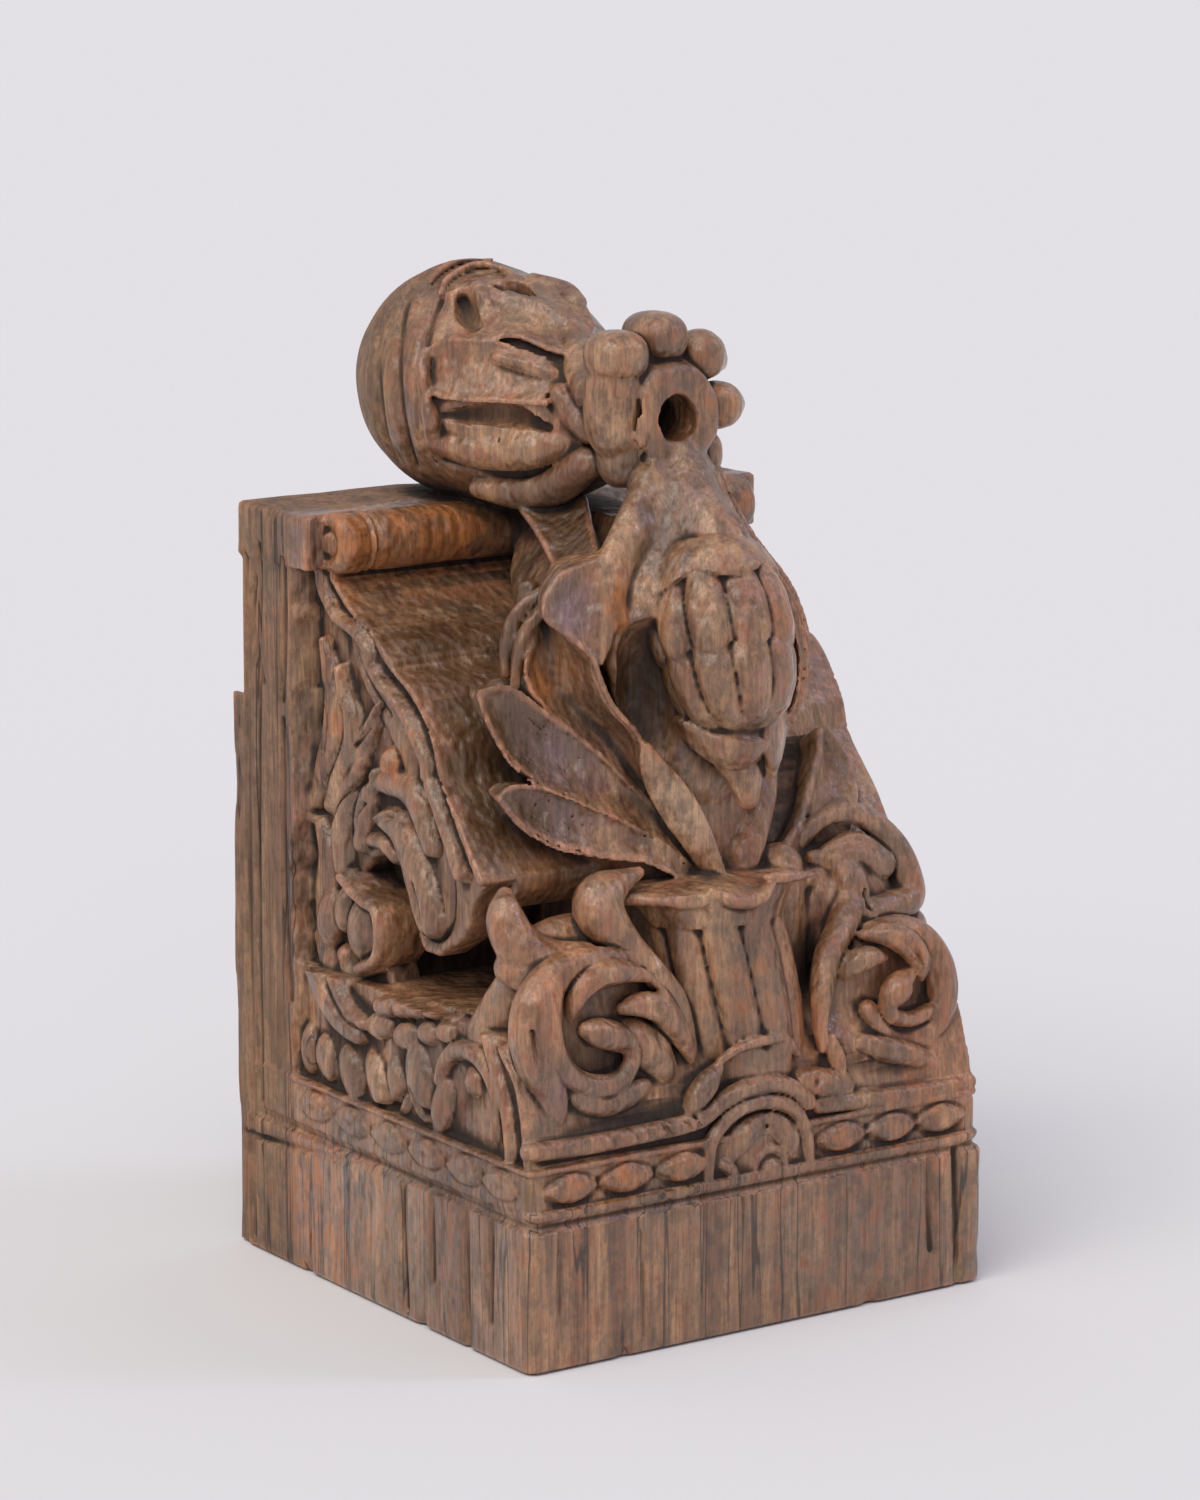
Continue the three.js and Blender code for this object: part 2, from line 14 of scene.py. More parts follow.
import bpy
import numpy as np
import openvdb
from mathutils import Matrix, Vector

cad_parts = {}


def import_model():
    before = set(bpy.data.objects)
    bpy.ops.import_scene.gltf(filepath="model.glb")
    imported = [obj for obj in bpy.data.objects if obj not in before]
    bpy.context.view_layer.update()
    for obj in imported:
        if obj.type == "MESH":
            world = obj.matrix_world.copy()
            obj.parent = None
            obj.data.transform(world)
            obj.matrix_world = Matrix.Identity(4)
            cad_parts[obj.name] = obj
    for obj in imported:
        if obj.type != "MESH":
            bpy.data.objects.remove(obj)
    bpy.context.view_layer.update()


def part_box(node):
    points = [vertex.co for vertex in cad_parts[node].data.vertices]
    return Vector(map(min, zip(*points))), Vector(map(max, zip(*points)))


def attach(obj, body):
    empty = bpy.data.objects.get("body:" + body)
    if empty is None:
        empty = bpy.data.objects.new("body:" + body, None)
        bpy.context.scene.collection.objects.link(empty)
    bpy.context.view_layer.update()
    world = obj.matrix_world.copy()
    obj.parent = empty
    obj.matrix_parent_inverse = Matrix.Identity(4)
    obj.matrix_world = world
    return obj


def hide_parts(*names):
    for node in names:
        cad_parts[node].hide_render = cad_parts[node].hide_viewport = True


LOG = logging.getLogger("corbel")
NODE = "corbel_bracket"
MM = 0.001
# What counts as far off, a cell, the air round the baulk and the rods of thin leaves, in millimetres.
FAR = 30.0
CELL = 1.0
MARGIN = 3.0
ROD_SPACING = 1.5
# Share of the relief that the side away from the photo keeps.
HIDDEN_SIDE = 0.8

Point = tuple[float, float, float]
Run = Sequence[tuple[float, float, float, float]]
Trail = Sequence[Point]
Pairs = Sequence[tuple[float, float]]
Boss = tuple[tuple[float, float], tuple[float, float], float, float, float]
Form = Callable[[np.ndarray, np.ndarray, np.ndarray], np.ndarray]


def smooth_path(points: Sequence[Sequence[float]], spacing: float = 2.5) -> np.ndarray:
    """Runs a smooth curve through points, whose further columns, such as a radius, go along.

    Args:
        points: Rows of x, y, z and any further values.
        spacing: Distance between the curve's own points, in millimetres.

    Returns:
        The curve's points, one row each.
    """
    rows = np.array(points, np.float64)
    if len(rows) < 3:
        steps = max(2, int(np.linalg.norm(rows[1, :3] - rows[0, :3]) / spacing) + 1)
        return rows[0] + np.linspace(0, 1, steps)[:, None] * (rows[1] - rows[0])
    padded = np.vstack([2 * rows[0] - rows[1], rows, 2 * rows[-1] - rows[-2]])
    pieces = []
    for a, b, c, d in zip(padded, padded[1:], padded[2:], padded[3:]):
        steps = max(2, int(np.linalg.norm(c[:3] - b[:3]) / spacing) + 1)
        t = np.linspace(0, 1, steps, endpoint=False)[:, None]
        pieces.append(0.5 * (2 * b + (c - a) * t + (2 * a - 5 * b + 4 * c - d) * t**2
                             + (3 * b - a - 3 * c + d) * t**3))
    return np.vstack(pieces + [rows[-1:]])


def smooth_min(a: np.ndarray, b: np.ndarray, blend: float) -> np.ndarray:
    """Joins two distance fields, with a fillet of about the blend's size where they meet."""
    if blend <= 0:
        return np.minimum(a, b)
    near = np.maximum(blend - np.abs(a - b), 0) / blend
    return np.minimum(a, b) - near * near * blend * 0.25


def profile(at: np.ndarray, rows: Pairs) -> np.ndarray:
    """Reads a profile, given as pairs of place and size, at places along it."""
    places, sizes = zip(*rows)
    return np.interp(at, places, sizes)


def noise(x: np.ndarray, y: np.ndarray, z: np.ndarray, cell: Point, seed: int) -> np.ndarray:
    """Smooth random values from -1 to 1 on a lattice.

    Args:
        x: Places along X, in millimetres.
        y: Places along Y.
        z: Places along Z.
        cell: The lattice's cell along X, Y and Z, in millimetres.
        seed: Number that picks the pattern.

    Returns:
        One value for each place.
    """
    table = np.random.default_rng(seed).uniform(-1, 1, (32, 32, 32)).astype(np.float32)
    parts = []
    for values, size in zip((x, y, z), cell):
        place = np.asarray(values, np.float32) / size + 512
        whole = np.floor(place).astype(np.int32)
        share = place - whole
        parts.append((whole & 31, (whole + 1) & 31, share * share * (3 - 2 * share)))
    (x0, x1, fx), (y0, y1, fy), (z0, z1, fz) = parts
    low = (table[x0, y0, z0] * (1 - fx) + table[x1, y0, z0] * fx) * (1 - fy)
    low = low + (table[x0, y1, z0] * (1 - fx) + table[x1, y1, z0] * fx) * fy
    high = (table[x0, y0, z1] * (1 - fx) + table[x1, y0, z1] * fx) * (1 - fy)
    high = high + (table[x0, y1, z1] * (1 - fx) + table[x1, y1, z1] * fx) * fy
    return low * (1 - fz) + high * fz


def box_blur(values: np.ndarray, reach: int, rounds: int = 2) -> np.ndarray:
    """Averages a block over a box of cells, some rounds over, which comes close to a soft blur."""
    for _ in range(rounds):
        for axis in range(values.ndim):
            pad = [(0, 0)] * values.ndim
            pad[axis] = (reach + 1, reach)
            sums = np.cumsum(np.pad(values, pad, mode="edge"), axis=axis, dtype=np.float32)
            low, high = [slice(None)] * values.ndim, [slice(None)] * values.ndim
            low[axis] = slice(0, values.shape[axis])
            high[axis] = slice(2 * reach + 1, 2 * reach + 1 + values.shape[axis])
            values = (sums[tuple(high)] - sums[tuple(low)]) / (2 * reach + 1)
    return values


@dataclass(frozen=True)
class Petal:
    """A thin leaf between two rims, hollowed between them, with wood behind its middle.

    Attributes:
        one: Points of one rim, from the root or the tip.
        other: Points of the other rim, from the same end.
        hollow: How far the widest place lies behind the rims; below zero it swells forward.
        thick: Radius of the leaf's plate.
        back: How far, and which way, the wood goes on behind the leaf.
        blend: Size of the fillet where it meets the wood.
    """

    one: Trail
    other: Trail
    hollow: float = 3.0
    thick: float = 1.4
    back: Point = (0.25, 7.0, -2.0)
    blend: float = 0.6


@dataclass
class Block:
    """A block of distances to the carved surface, negative inside the wood.

    Attributes:
        low: Lowest corner, in millimetres.
        high: Highest corner.
        step: Size of a cell.
    """

    low: Point
    high: Point
    step: float
    axes: list[np.ndarray] = field(init=False)
    depth: np.ndarray = field(init=False)

    def __post_init__(self) -> None:
        """Fills the block with air."""
        self.axes = [np.arange(low, high + self.step, self.step, dtype=np.float32)
                     for low, high in zip(self.low, self.high)]
        self.depth = np.full([len(axis) for axis in self.axes], FAR, np.float32)

    def window(self, low: Iterable[float],
               high: Iterable[float]) -> tuple[tuple[slice, ...], list[np.ndarray]]:
        """Finds the cells between two corners.

        Args:
            low: Lowest corner.
            high: Highest corner.

        Returns:
            The cells' slices, and their x, y and z ready to be combined.
        """
        cuts = []
        for axis, a, b in zip(self.axes, low, high):
            start = int(np.clip(math.floor((a - axis[0]) / self.step), 0, len(axis) - 1))
            stop = int(np.clip(math.ceil((b - axis[0]) / self.step) + 1, start + 1, len(axis)))
            cuts.append(slice(start, stop))
        grid = [self.axes[0][cuts[0], None, None], self.axes[1][None, cuts[1], None],
                self.axes[2][None, None, cuts[2]]]
        return tuple(cuts), grid

    def add(self, low: Point, high: Point, form: Form, blend: float = 0.8) -> None:
        """Leaves wood standing in a form, between two corners."""
        cuts, grid = self.window(low, high)
        self.depth[cuts] = smooth_min(self.depth[cuts], form(*grid).astype(np.float32), blend)

    def cut(self, low: Point, high: Point, form: Form, blend: float = 0.8) -> None:
        """Cuts a form out of the wood, between two corners."""
        cuts, grid = self.window(low, high)
        self.depth[cuts] = -smooth_min(-self.depth[cuts], form(*grid).astype(np.float32), blend)

    def strand(self, points: Sequence[Sequence[float]], blend: float = 0.8, cut: bool = False,
               flat: float = 1.0, way: Point = (0, 1, 0), spacing: float = 2.5) -> None:
        """Adds or cuts a round strand through points of x, y, z and radius.

        Args:
            points: Rows of x, y, z and radius.
            blend: Size of the fillet where it meets the wood.
            cut: Whether it is a groove and not a strand.
            flat: Share of its thickness that it keeps along the way.
            way: Direction that it is flattened along.
            spacing: Distance between the curve's own points.
        """
        path = smooth_path(points, spacing)
        reach = path[:, 3].max() + blend + 2 * self.step
        cuts, _ = self.window(path[:, :3].min(0) - reach, path[:, :3].max(0) + reach)
        fresh = np.full([c.stop - c.start for c in cuts], FAR, np.float32)
        normal = np.array(way, np.float64) / np.linalg.norm(way)
        for (ax, ay, az, ar), (bx, by, bz, br) in zip(path, path[1:]):
            near = max(ar, br) + blend + 2 * self.step
            inner, (x, y, z) = self.window(np.minimum((ax, ay, az), (bx, by, bz)) - near,
                                           np.maximum((ax, ay, az), (bx, by, bz)) + near)
            ux, uy, uz = bx - ax, by - ay, bz - az
            length = max(ux * ux + uy * uy + uz * uz, 1e-9)
            px, py, pz = x - np.float32(ax), y - np.float32(ay), z - np.float32(az)
            t = np.clip((px * ux + py * uy + pz * uz) / length, 0, 1).astype(np.float32)
            qx, qy, qz = px - t * np.float32(ux), py - t * np.float32(uy), pz - t * np.float32(uz)
            if flat != 1.0:
                push = (qx * normal[0] + qy * normal[1] + qz * normal[2]) * (1 / flat - 1)
                qx, qy, qz = qx + push * normal[0], qy + push * normal[1], qz + push * normal[2]
            gap = (np.sqrt(qx * qx + qy * qy + qz * qz) - (ar + t * (br - ar))) * min(flat, 1.0)
            local = tuple(slice(i.start - c.start, i.stop - c.start) for i, c in zip(inner, cuts))
            fresh[local] = np.minimum(fresh[local], gap)
        if cut:
            self.depth[cuts] = -smooth_min(-self.depth[cuts], fresh, blend)
        else:
            self.depth[cuts] = smooth_min(self.depth[cuts], fresh, blend)

    def egg(self, centre: Point, half: Point, blend: float = 0.8, cut: bool = False) -> None:
        """Adds or cuts an egg with three half sizes."""
        low = [c - h - blend - 2 * self.step for c, h in zip(centre, half)]
        high = [c + h + blend + 2 * self.step for c, h in zip(centre, half)]
        small = min(half)

        def form(x: np.ndarray, y: np.ndarray, z: np.ndarray) -> np.ndarray:
            """Distance to the egg, close to true near its surface."""
            q = np.sqrt(((x - centre[0]) / half[0]) ** 2 + ((y - centre[1]) / half[1]) ** 2
                        + ((z - centre[2]) / half[2]) ** 2)
            return (q - 1) * small

        (self.cut if cut else self.add)(tuple(low), tuple(high), form, blend)

    def leaf(self, points: Sequence[Sequence[float]], front: Point, thick: float = 3.0, cup: float = 4.0,
             rim: float = 1.0, back: float = 0.0) -> None:
        """Adds a cupped leaf along points of x, y, z and half width, its rims raised to the front.

        Args:
            points: Rows of x, y, z and half width along the leaf's middle.
            front: Direction that the leaf's hollow faces.
            thick: Radius of the leaf's plate.
            cup: How far the rims stand above the middle at the widest place.
            rim: Radius added along the rims.
            back: How far the wood goes on behind the leaf.
        """
        path = smooth_path(points, 1.6)
        middle, half = path[:, :3], path[:, 3]
        facing = np.array(front, np.float64) / np.linalg.norm(front)
        run = np.gradient(middle, axis=0)
        side = np.cross(run, facing)
        side /= np.linalg.norm(side, axis=1, keepdims=True)
        widest = half.max()
        for across in np.linspace(-1, 1, max(5, int(widest * 2 / 1.8) | 1)):
            rise = cup * (half / widest) * across * across
            line = middle + side * (across * half)[:, None] + facing * rise[:, None]
            radius = np.full(len(line), thick + rim * abs(across) ** 6)
            self.ribbon(np.column_stack([line, radius]), -facing * back)

    def blade(self, petal: Petal) -> None:
        """Adds a thin leaf between its two rims, built from rods that reach back into the wood."""
        rims = []
        for rows in (petal.one, petal.other):
            path = smooth_path(rows, ROD_SPACING)
            far = np.concatenate([[0], np.cumsum(np.linalg.norm(np.diff(path, axis=0), axis=1))])
            rims.append((path, far / far[-1], far[-1]))
        count = int(max(rim[2] for rim in rims) / ROD_SPACING) + 2
        even = np.linspace(0, 1, count)
        first, second = (np.column_stack([np.interp(even, share, path[:, k]) for k in range(3)])
                         for path, share, _ in rims)
        wide = np.linalg.norm(second - first, axis=1)
        drop = np.array(petal.back, np.float64)
        way = drop / np.linalg.norm(drop)
        fresh: list[tuple[np.ndarray, np.ndarray]] = []
        for across in np.linspace(0, 1, max(4, int(wide.max() / ROD_SPACING) + 1)):
            belly = 4 * across * (1 - across)
            sunk = petal.hollow * belly * wide / wide.max()
            line = first + (second - first) * across + way * sunk[:, None]
            rods = np.column_stack([line, np.full(count, petal.thick)])
            fresh.append((rods, drop * min(1.0, 1.6 * belly) + way * 0.01))
        low = np.min([rows[:, :3].min(0) for rows, _ in fresh], axis=0) - 4 - np.abs(drop)
        high = np.max([rows[:, :3].max(0) for rows, _ in fresh], axis=0) + 4 + np.abs(drop)
        cuts, _ = self.window(low, high)
        before = self.depth[cuts].copy()
        self.depth[cuts] = FAR
        for rows, reach in fresh:
            self.ribbon(rows, reach)
        self.depth[cuts] = smooth_min(before, self.depth[cuts], petal.blend)

    def ribbon(self, rows: np.ndarray, drop: np.ndarray) -> None:
        """Adds a row of short rods, one at each point, that reach from it along a drop."""
        for px, py, pz, radius in rows:
            start, stop = np.array((px, py, pz)), np.array((px, py, pz)) + drop
            near = radius + self.step * 2
            cuts, (x, y, z) = self.window(np.minimum(start, stop) - near, np.maximum(start, stop) + near)
            qx, qy, qz = x - np.float32(px), y - np.float32(py), z - np.float32(pz)
            length = float(drop @ drop)
            if length > 0:
                t = np.clip((qx * drop[0] + qy * drop[1] + qz * drop[2]) / length, 0, 1)
                qx, qy, qz = qx - t * drop[0], qy - t * drop[1], qz - t * drop[2]
            gap = np.sqrt(qx * qx + qy * qy + qz * qz) - radius
            self.depth[cuts] = np.minimum(self.depth[cuts], gap)

    def read(self, values: np.ndarray, places: np.ndarray) -> np.ndarray:
        """Reads a block of values at places in millimetres, straight between cells."""
        spot = [(places[:, k] - self.axes[k][0]) / self.step for k in range(3)]
        base = [np.clip(s.astype(np.int64), 0, n - 2) for s, n in zip(spot, values.shape)]
        share = [np.clip(s - b, 0, 1) for s, b in zip(spot, base)]
        total = np.zeros(len(places))
        for i in (0, 1):
            for j in (0, 1):
                for k in (0, 1):
                    weight = ((share[0] if i else 1 - share[0]) * (share[1] if j else 1 - share[1])
                              * (share[2] if k else 1 - share[2]))
                    total += weight * values[base[0] + i, base[1] + j, base[2] + k]
        return total


def polygon_gap(outline: np.ndarray, u: np.ndarray, v: np.ndarray) -> np.ndarray:
    """Distance from places in a plane to a closed outline, negative inside.

    Args:
        outline: The outline's corners in order, one row each.
        u: Places along the first axis of the plane, as a column.
        v: Places along the second axis, as a row.

    Returns:
        One distance for each pair of places.
    """
    best = np.full(np.broadcast(u, v).shape, 1e9, np.float32)
    inside = np.zeros(best.shape, bool)
    for (au, av), (bu, bv) in zip(outline, np.roll(outline, -1, axis=0)):
        du, dv = bu - au, bv - av
        t = np.clip(((u - au) * du + (v - av) * dv) / max(du * du + dv * dv, 1e-9), 0, 1)
        best = np.minimum(best, (u - au - t * du) ** 2 + (v - av - t * dv) ** 2)
        if abs(dv) > 1e-9:
            crosses = ((av > v) != (bv > v)) & (u < du * (v - av) / dv + au)
            inside ^= crosses
    gap = np.sqrt(best)
    return np.where(inside, -gap, gap)


@dataclass
class Panel:
    """A flat face seen square on, with the height of the carving on it.

    Attributes:
        u: Places along the face's first axis, as a column.
        v: Places along its second axis, as a row.
    """

    u: np.ndarray
    v: np.ndarray
    height: np.ndarray = field(init=False)

    def __post_init__(self) -> None:
        """Starts the face flat."""
        self.height = np.zeros(np.broadcast(self.u, self.v).shape, np.float32)

    def gap(self, points: Trail) -> np.ndarray:
        """Distance to a curve through points of u, v and half width, as a share of that width."""
        path = smooth_path([(u, v, 0.0, w) for u, v, w in points], 2.0)
        best = np.full(self.height.shape, 1e9, np.float32)
        for (au, av, _, aw), (bu, bv, _, bw) in zip(path, path[1:]):
            du, dv = bu - au, bv - av
            t = np.clip(((self.u - au) * du + (self.v - av) * dv) / max(du * du + dv * dv, 1e-9), 0, 1)
            far = np.hypot(self.u - au - t * du, self.v - av - t * dv) / (aw + t * (bw - aw))
            best = np.where(far < best, far, best)
        return best

    def ridge(self, points: Trail, rise: float) -> None:
        """Raises a rounded ridge through points of u, v and half width, to a height over the face."""
        far = self.gap(points)
        crown = np.sqrt(np.clip(1 - far * far, 0, 1))
        self.height = np.where(far < 1, np.maximum(self.height, crown * rise), self.height)

    def groove(self, points: Trail, depth: float) -> None:
        """Cuts a V groove through points of u, v and half width."""
        self.height = self.height - np.clip(1 - self.gap(points), 0, 1) * depth

    def lens(self, boss: Boss, fine: float) -> None:
        """Raises an oval boss.

        Args:
            boss: Its centre, half sizes, turn in degrees, rise and the height that it springs from.
            fine: Share of the rise that it keeps.
        """
        centre, half, turn, rise, base = boss
        c, s = math.cos(math.radians(turn)), math.sin(math.radians(turn))
        du, dv = self.u - centre[0], self.v - centre[1]
        q = ((du * c + dv * s) / half[0]) ** 2 + ((dv * c - du * s) / half[1]) ** 2
        crown = np.sqrt(np.clip(1 - q, 0, 1))
        raised = np.maximum(self.height, base + crown * (rise * fine - base))
        self.height = np.where(q < 1, raised, self.height)


class Hand(Enum):
    """The two sides of the carving, seen from the front."""

    LEFT = -1
    RIGHT = 1


@dataclass
class Baulk:
    """The squared timber: plinth, band, body with its S front, slab, roll and the board at the back.

    Masses overlap a little. A profile gives how far a moulding stands in or out at each place along it; the
    ring profile counts from the roll's end, and the eye profile from its axis.
    """

    half: float = 100.0
    back: float = 92.0
    board_front: float = 88.0
    board_back: float = 100.0
    board_top: float = 210.0
    band_top: float = 70.0
    ledge: float = 117.0
    slab_top: float = 283.0
    slab_depth: float = 21.0
    slab_front: float = 44.0
    overlap: float = 4.0
    margin_front: float = 57.0
    panel: float = 87.0
    plate: float = 74.0
    roll_centre: tuple[float, float] = (42.0, 272.0)
    roll_radius: float = 11.0
    side_profile: Pairs = (
        (0, 1.2), (1.5, 0.3), (51, 0.2), (52.5, 2.6), (54.5, 2.6), (56, 1.4), (69, 1.4), (70, 2.2),
        (71.5, 0.8), (73, 1.2))
    face_profile: Pairs = (
        (0, 1.2), (1.5, 0.4), (50, 0.3), (51.5, 2.2), (53.5, 2.2), (54.5, 0.6), (57, 0.6), (58, 3.0),
        (70, 3.0), (71, 2.0))
    ring_profile: Pairs = ((-92, 0), (-17, 0), (-15.5, -1.6), (-14, 0.4), (-12.5, -1.4), (-11, 0.5), (0, 0.2))
    eye_profile: Pairs = (
        (0, 0), (3.2, 0.2), (4.4, 1.6), (5.6, 1.7), (7.2, 0.2), (8.4, 0.2), (10, 1.6), (12, 3))

    def front_curve(self) -> list[tuple[float, float]]:
        """Corners in Y and Z down the S from the roll to the nose."""
        upper = smooth_path([(44, 264, 0), (40, 257, 0), (28, 248.5, 0), (14, 241.5, 0), (3, 234.5, 0)], 2)
        lower = smooth_path([(1, 231, 0), (-9, 227, 0), (-18, 218, 0), (-25.5, 207, 0), (-29, 196, 0),
                             (-36, 188, 0), (-46, 177, 0), (-55, 165, 0)], 2)
        return [(y, z) for y, z, _ in np.vstack([upper, lower])]

    def lower_front(self) -> list[tuple[float, float]]:
        """Corners down the front of the lower block, from the ledge to the band."""
        rows = smooth_path([(-62, 119, 0), (-72, 115, 0), (-82, 109, 0), (-88, 101, 0), (-92, 89, 0),
                            (-94, 80, 0), (-94.5, 73, 0)], 2)
        return [(y, z) for y, z, _ in rows]

    def outline(self, underside: list[tuple[float, float]]) -> np.ndarray:
        """The body's outline in Y and Z, with one of its undersides below the nose."""
        under = self.slab_top - self.overlap
        rows = [(self.back, self.band_top - self.overlap), (self.back, under), (self.slab_front, under)]
        return np.array(rows + self.front_curve() + underside + self.lower_front(), np.float32)

    def side_underside(self) -> list[tuple[float, float]]:
        """Corners round the tongue, the arch and the volute on the side faces."""
        return [(-50, 161), (-46, 155), (-43, 148), (-39, 142), (-31, 137), (-22, 132), (-14, 132.5),
                (-9, 137), (-5.5, 146), (-4, 153), (0, 158), (4, 161.5), (11, 163), (20, 160), (26, 154),
                (18, 149.5), (10, 147.5), (4, 143), (2.5, 136), (5, 127), (10, 122), (8, self.ledge),
                (-10, self.ledge - 1)]

    def core_underside(self) -> list[tuple[float, float]]:
        """Corners of the hollow under the nose, between the side faces."""
        return [(-54, 160), (-48, 153), (-34, 149), (-14, 150), (4, 155), (12, 150), (14, 134),
                (12, self.ledge), (-10, self.ledge - 1)]

    def carve(self, block: Block, left: "SideFace", right: "SideFace", band: "Band") -> None:
        """Sets the timber's masses into the block.

        Args:
            block: The block to carve.
            left: Carving of the left side face.
            right: Carving of the right side face.
            band: Carving of the band round the plinth.
        """
        low, high = block.low, block.high
        y, z = block.axes[1][:, None], block.axes[2][None, :]
        core = polygon_gap(self.outline(self.core_underside()), y, z)
        rim = polygon_gap(self.outline(self.side_underside()), y, z)
        widths = {Hand.LEFT: left.width(self, y, z), Hand.RIGHT: right.width(self, y, z)}

        def body(x: np.ndarray, _y: np.ndarray, _z: np.ndarray) -> np.ndarray:
            """The body between its two carved side faces."""
            wide = np.where(x < 0, widths[Hand.LEFT][None], widths[Hand.RIGHT][None])
            outline = np.where(np.abs(x) > self.plate, rim[None], core[None])
            return -smooth_min(-outline, wide - np.abs(x), 1.6)

        block.add(low, high, body, 0)
        block.add(low, high, lambda x, y_, z_: self.plinth(x, y_, z_, band), 1.2)

        def slab(x: np.ndarray, y_: np.ndarray, z_: np.ndarray) -> np.ndarray:
            """The slab over the back, its top worn hollow."""
            top = self.slab_top - 0.9 - 0.8 * noise(x, y_, z_ * 0, (16, 30, 50), 11)
            wide = self.half - 0.6 + 0.6 * noise(x * 0, y_, z_, (9, 5, 40), 12)
            gap = -smooth_min(wide - np.abs(x), top - z_, 2.2)
            gap = -smooth_min(-gap, z_ - (self.slab_top - self.slab_depth), 1.0)
            return -smooth_min(-gap, np.minimum(y_ - self.slab_front, self.back + 2 - y_), 2.0)

        block.add((low[0], 38, 255), high, slab, 1.0)

        def board(x: np.ndarray, y_: np.ndarray, z_: np.ndarray) -> np.ndarray:
            """The weathered board at the back, parted from the rest by a long seam."""
            ragged = 2.5 * noise(x, y_ * 0, z_ * 0, (13, 9, 9), 21)
            wide = self.half - 1.6 + 0.9 * noise(x * 0, y_ * 0, z_, (9, 9, 22), 22)
            gap = -smooth_min(wide - np.abs(x), self.board_top + ragged - z_, 1.5)
            return -smooth_min(-gap, np.minimum(y_ - self.board_front, self.board_back - 0.3 - y_), 1.5)

        block.add((low[0], 80, low[2]), high, lambda x, y_, z_: np.maximum(board(x, y_, z_), 0.4 - z_), 0.8)
        self.roll(block)

    def plinth(self, x: np.ndarray, y: np.ndarray, z: np.ndarray, band: "Band") -> np.ndarray:
        """The square plinth with the band round its top."""
        side = self.half - profile(z, self.side_profile) + band.side(y, z)
        face = self.half - 0.2 - profile(z, self.face_profile) + band.face(x, z)
        wide = side - np.abs(x)
        gap = -smooth_min(wide, y + face, 5.0)
        gap = -smooth_min(-gap, self.back - y, 1.0)
        return -smooth_min(-gap, np.minimum(z - 0.4, self.band_top + 2.5 - z), 1.0)

    def roll(self, block: Block) -> None:
        """The roll across the front of the slab, with a ringed end each side."""
        y0, z0 = self.roll_centre
        end = self.panel + 5

        def bar(x: np.ndarray, y: np.ndarray, z: np.ndarray) -> np.ndarray:
            """A round bar with a turned ring by each end and a dished eye."""
            r = np.hypot(y - y0, z - z0)
            along = np.abs(x)
            wear = 0.5 * noise(x, y, z, (22, 8, 8), 31)
            ring = profile(along, [(end + place, rise) for place, rise in self.ring_profile])
            eye = profile(r, self.eye_profile)
            return -smooth_min(self.roll_radius + ring - wear - r, end - eye - along, 1.2)

        block.add((-end - 3, y0 - 15, z0 - 15), (end + 3, y0 + 15, z0 + 15), bar, 0.6)
        block.strand([(-end, y0 - 1, z0 - 12.2, 1.6), (end, y0 - 1, z0 - 12.2, 1.6)], cut=True, blend=1)


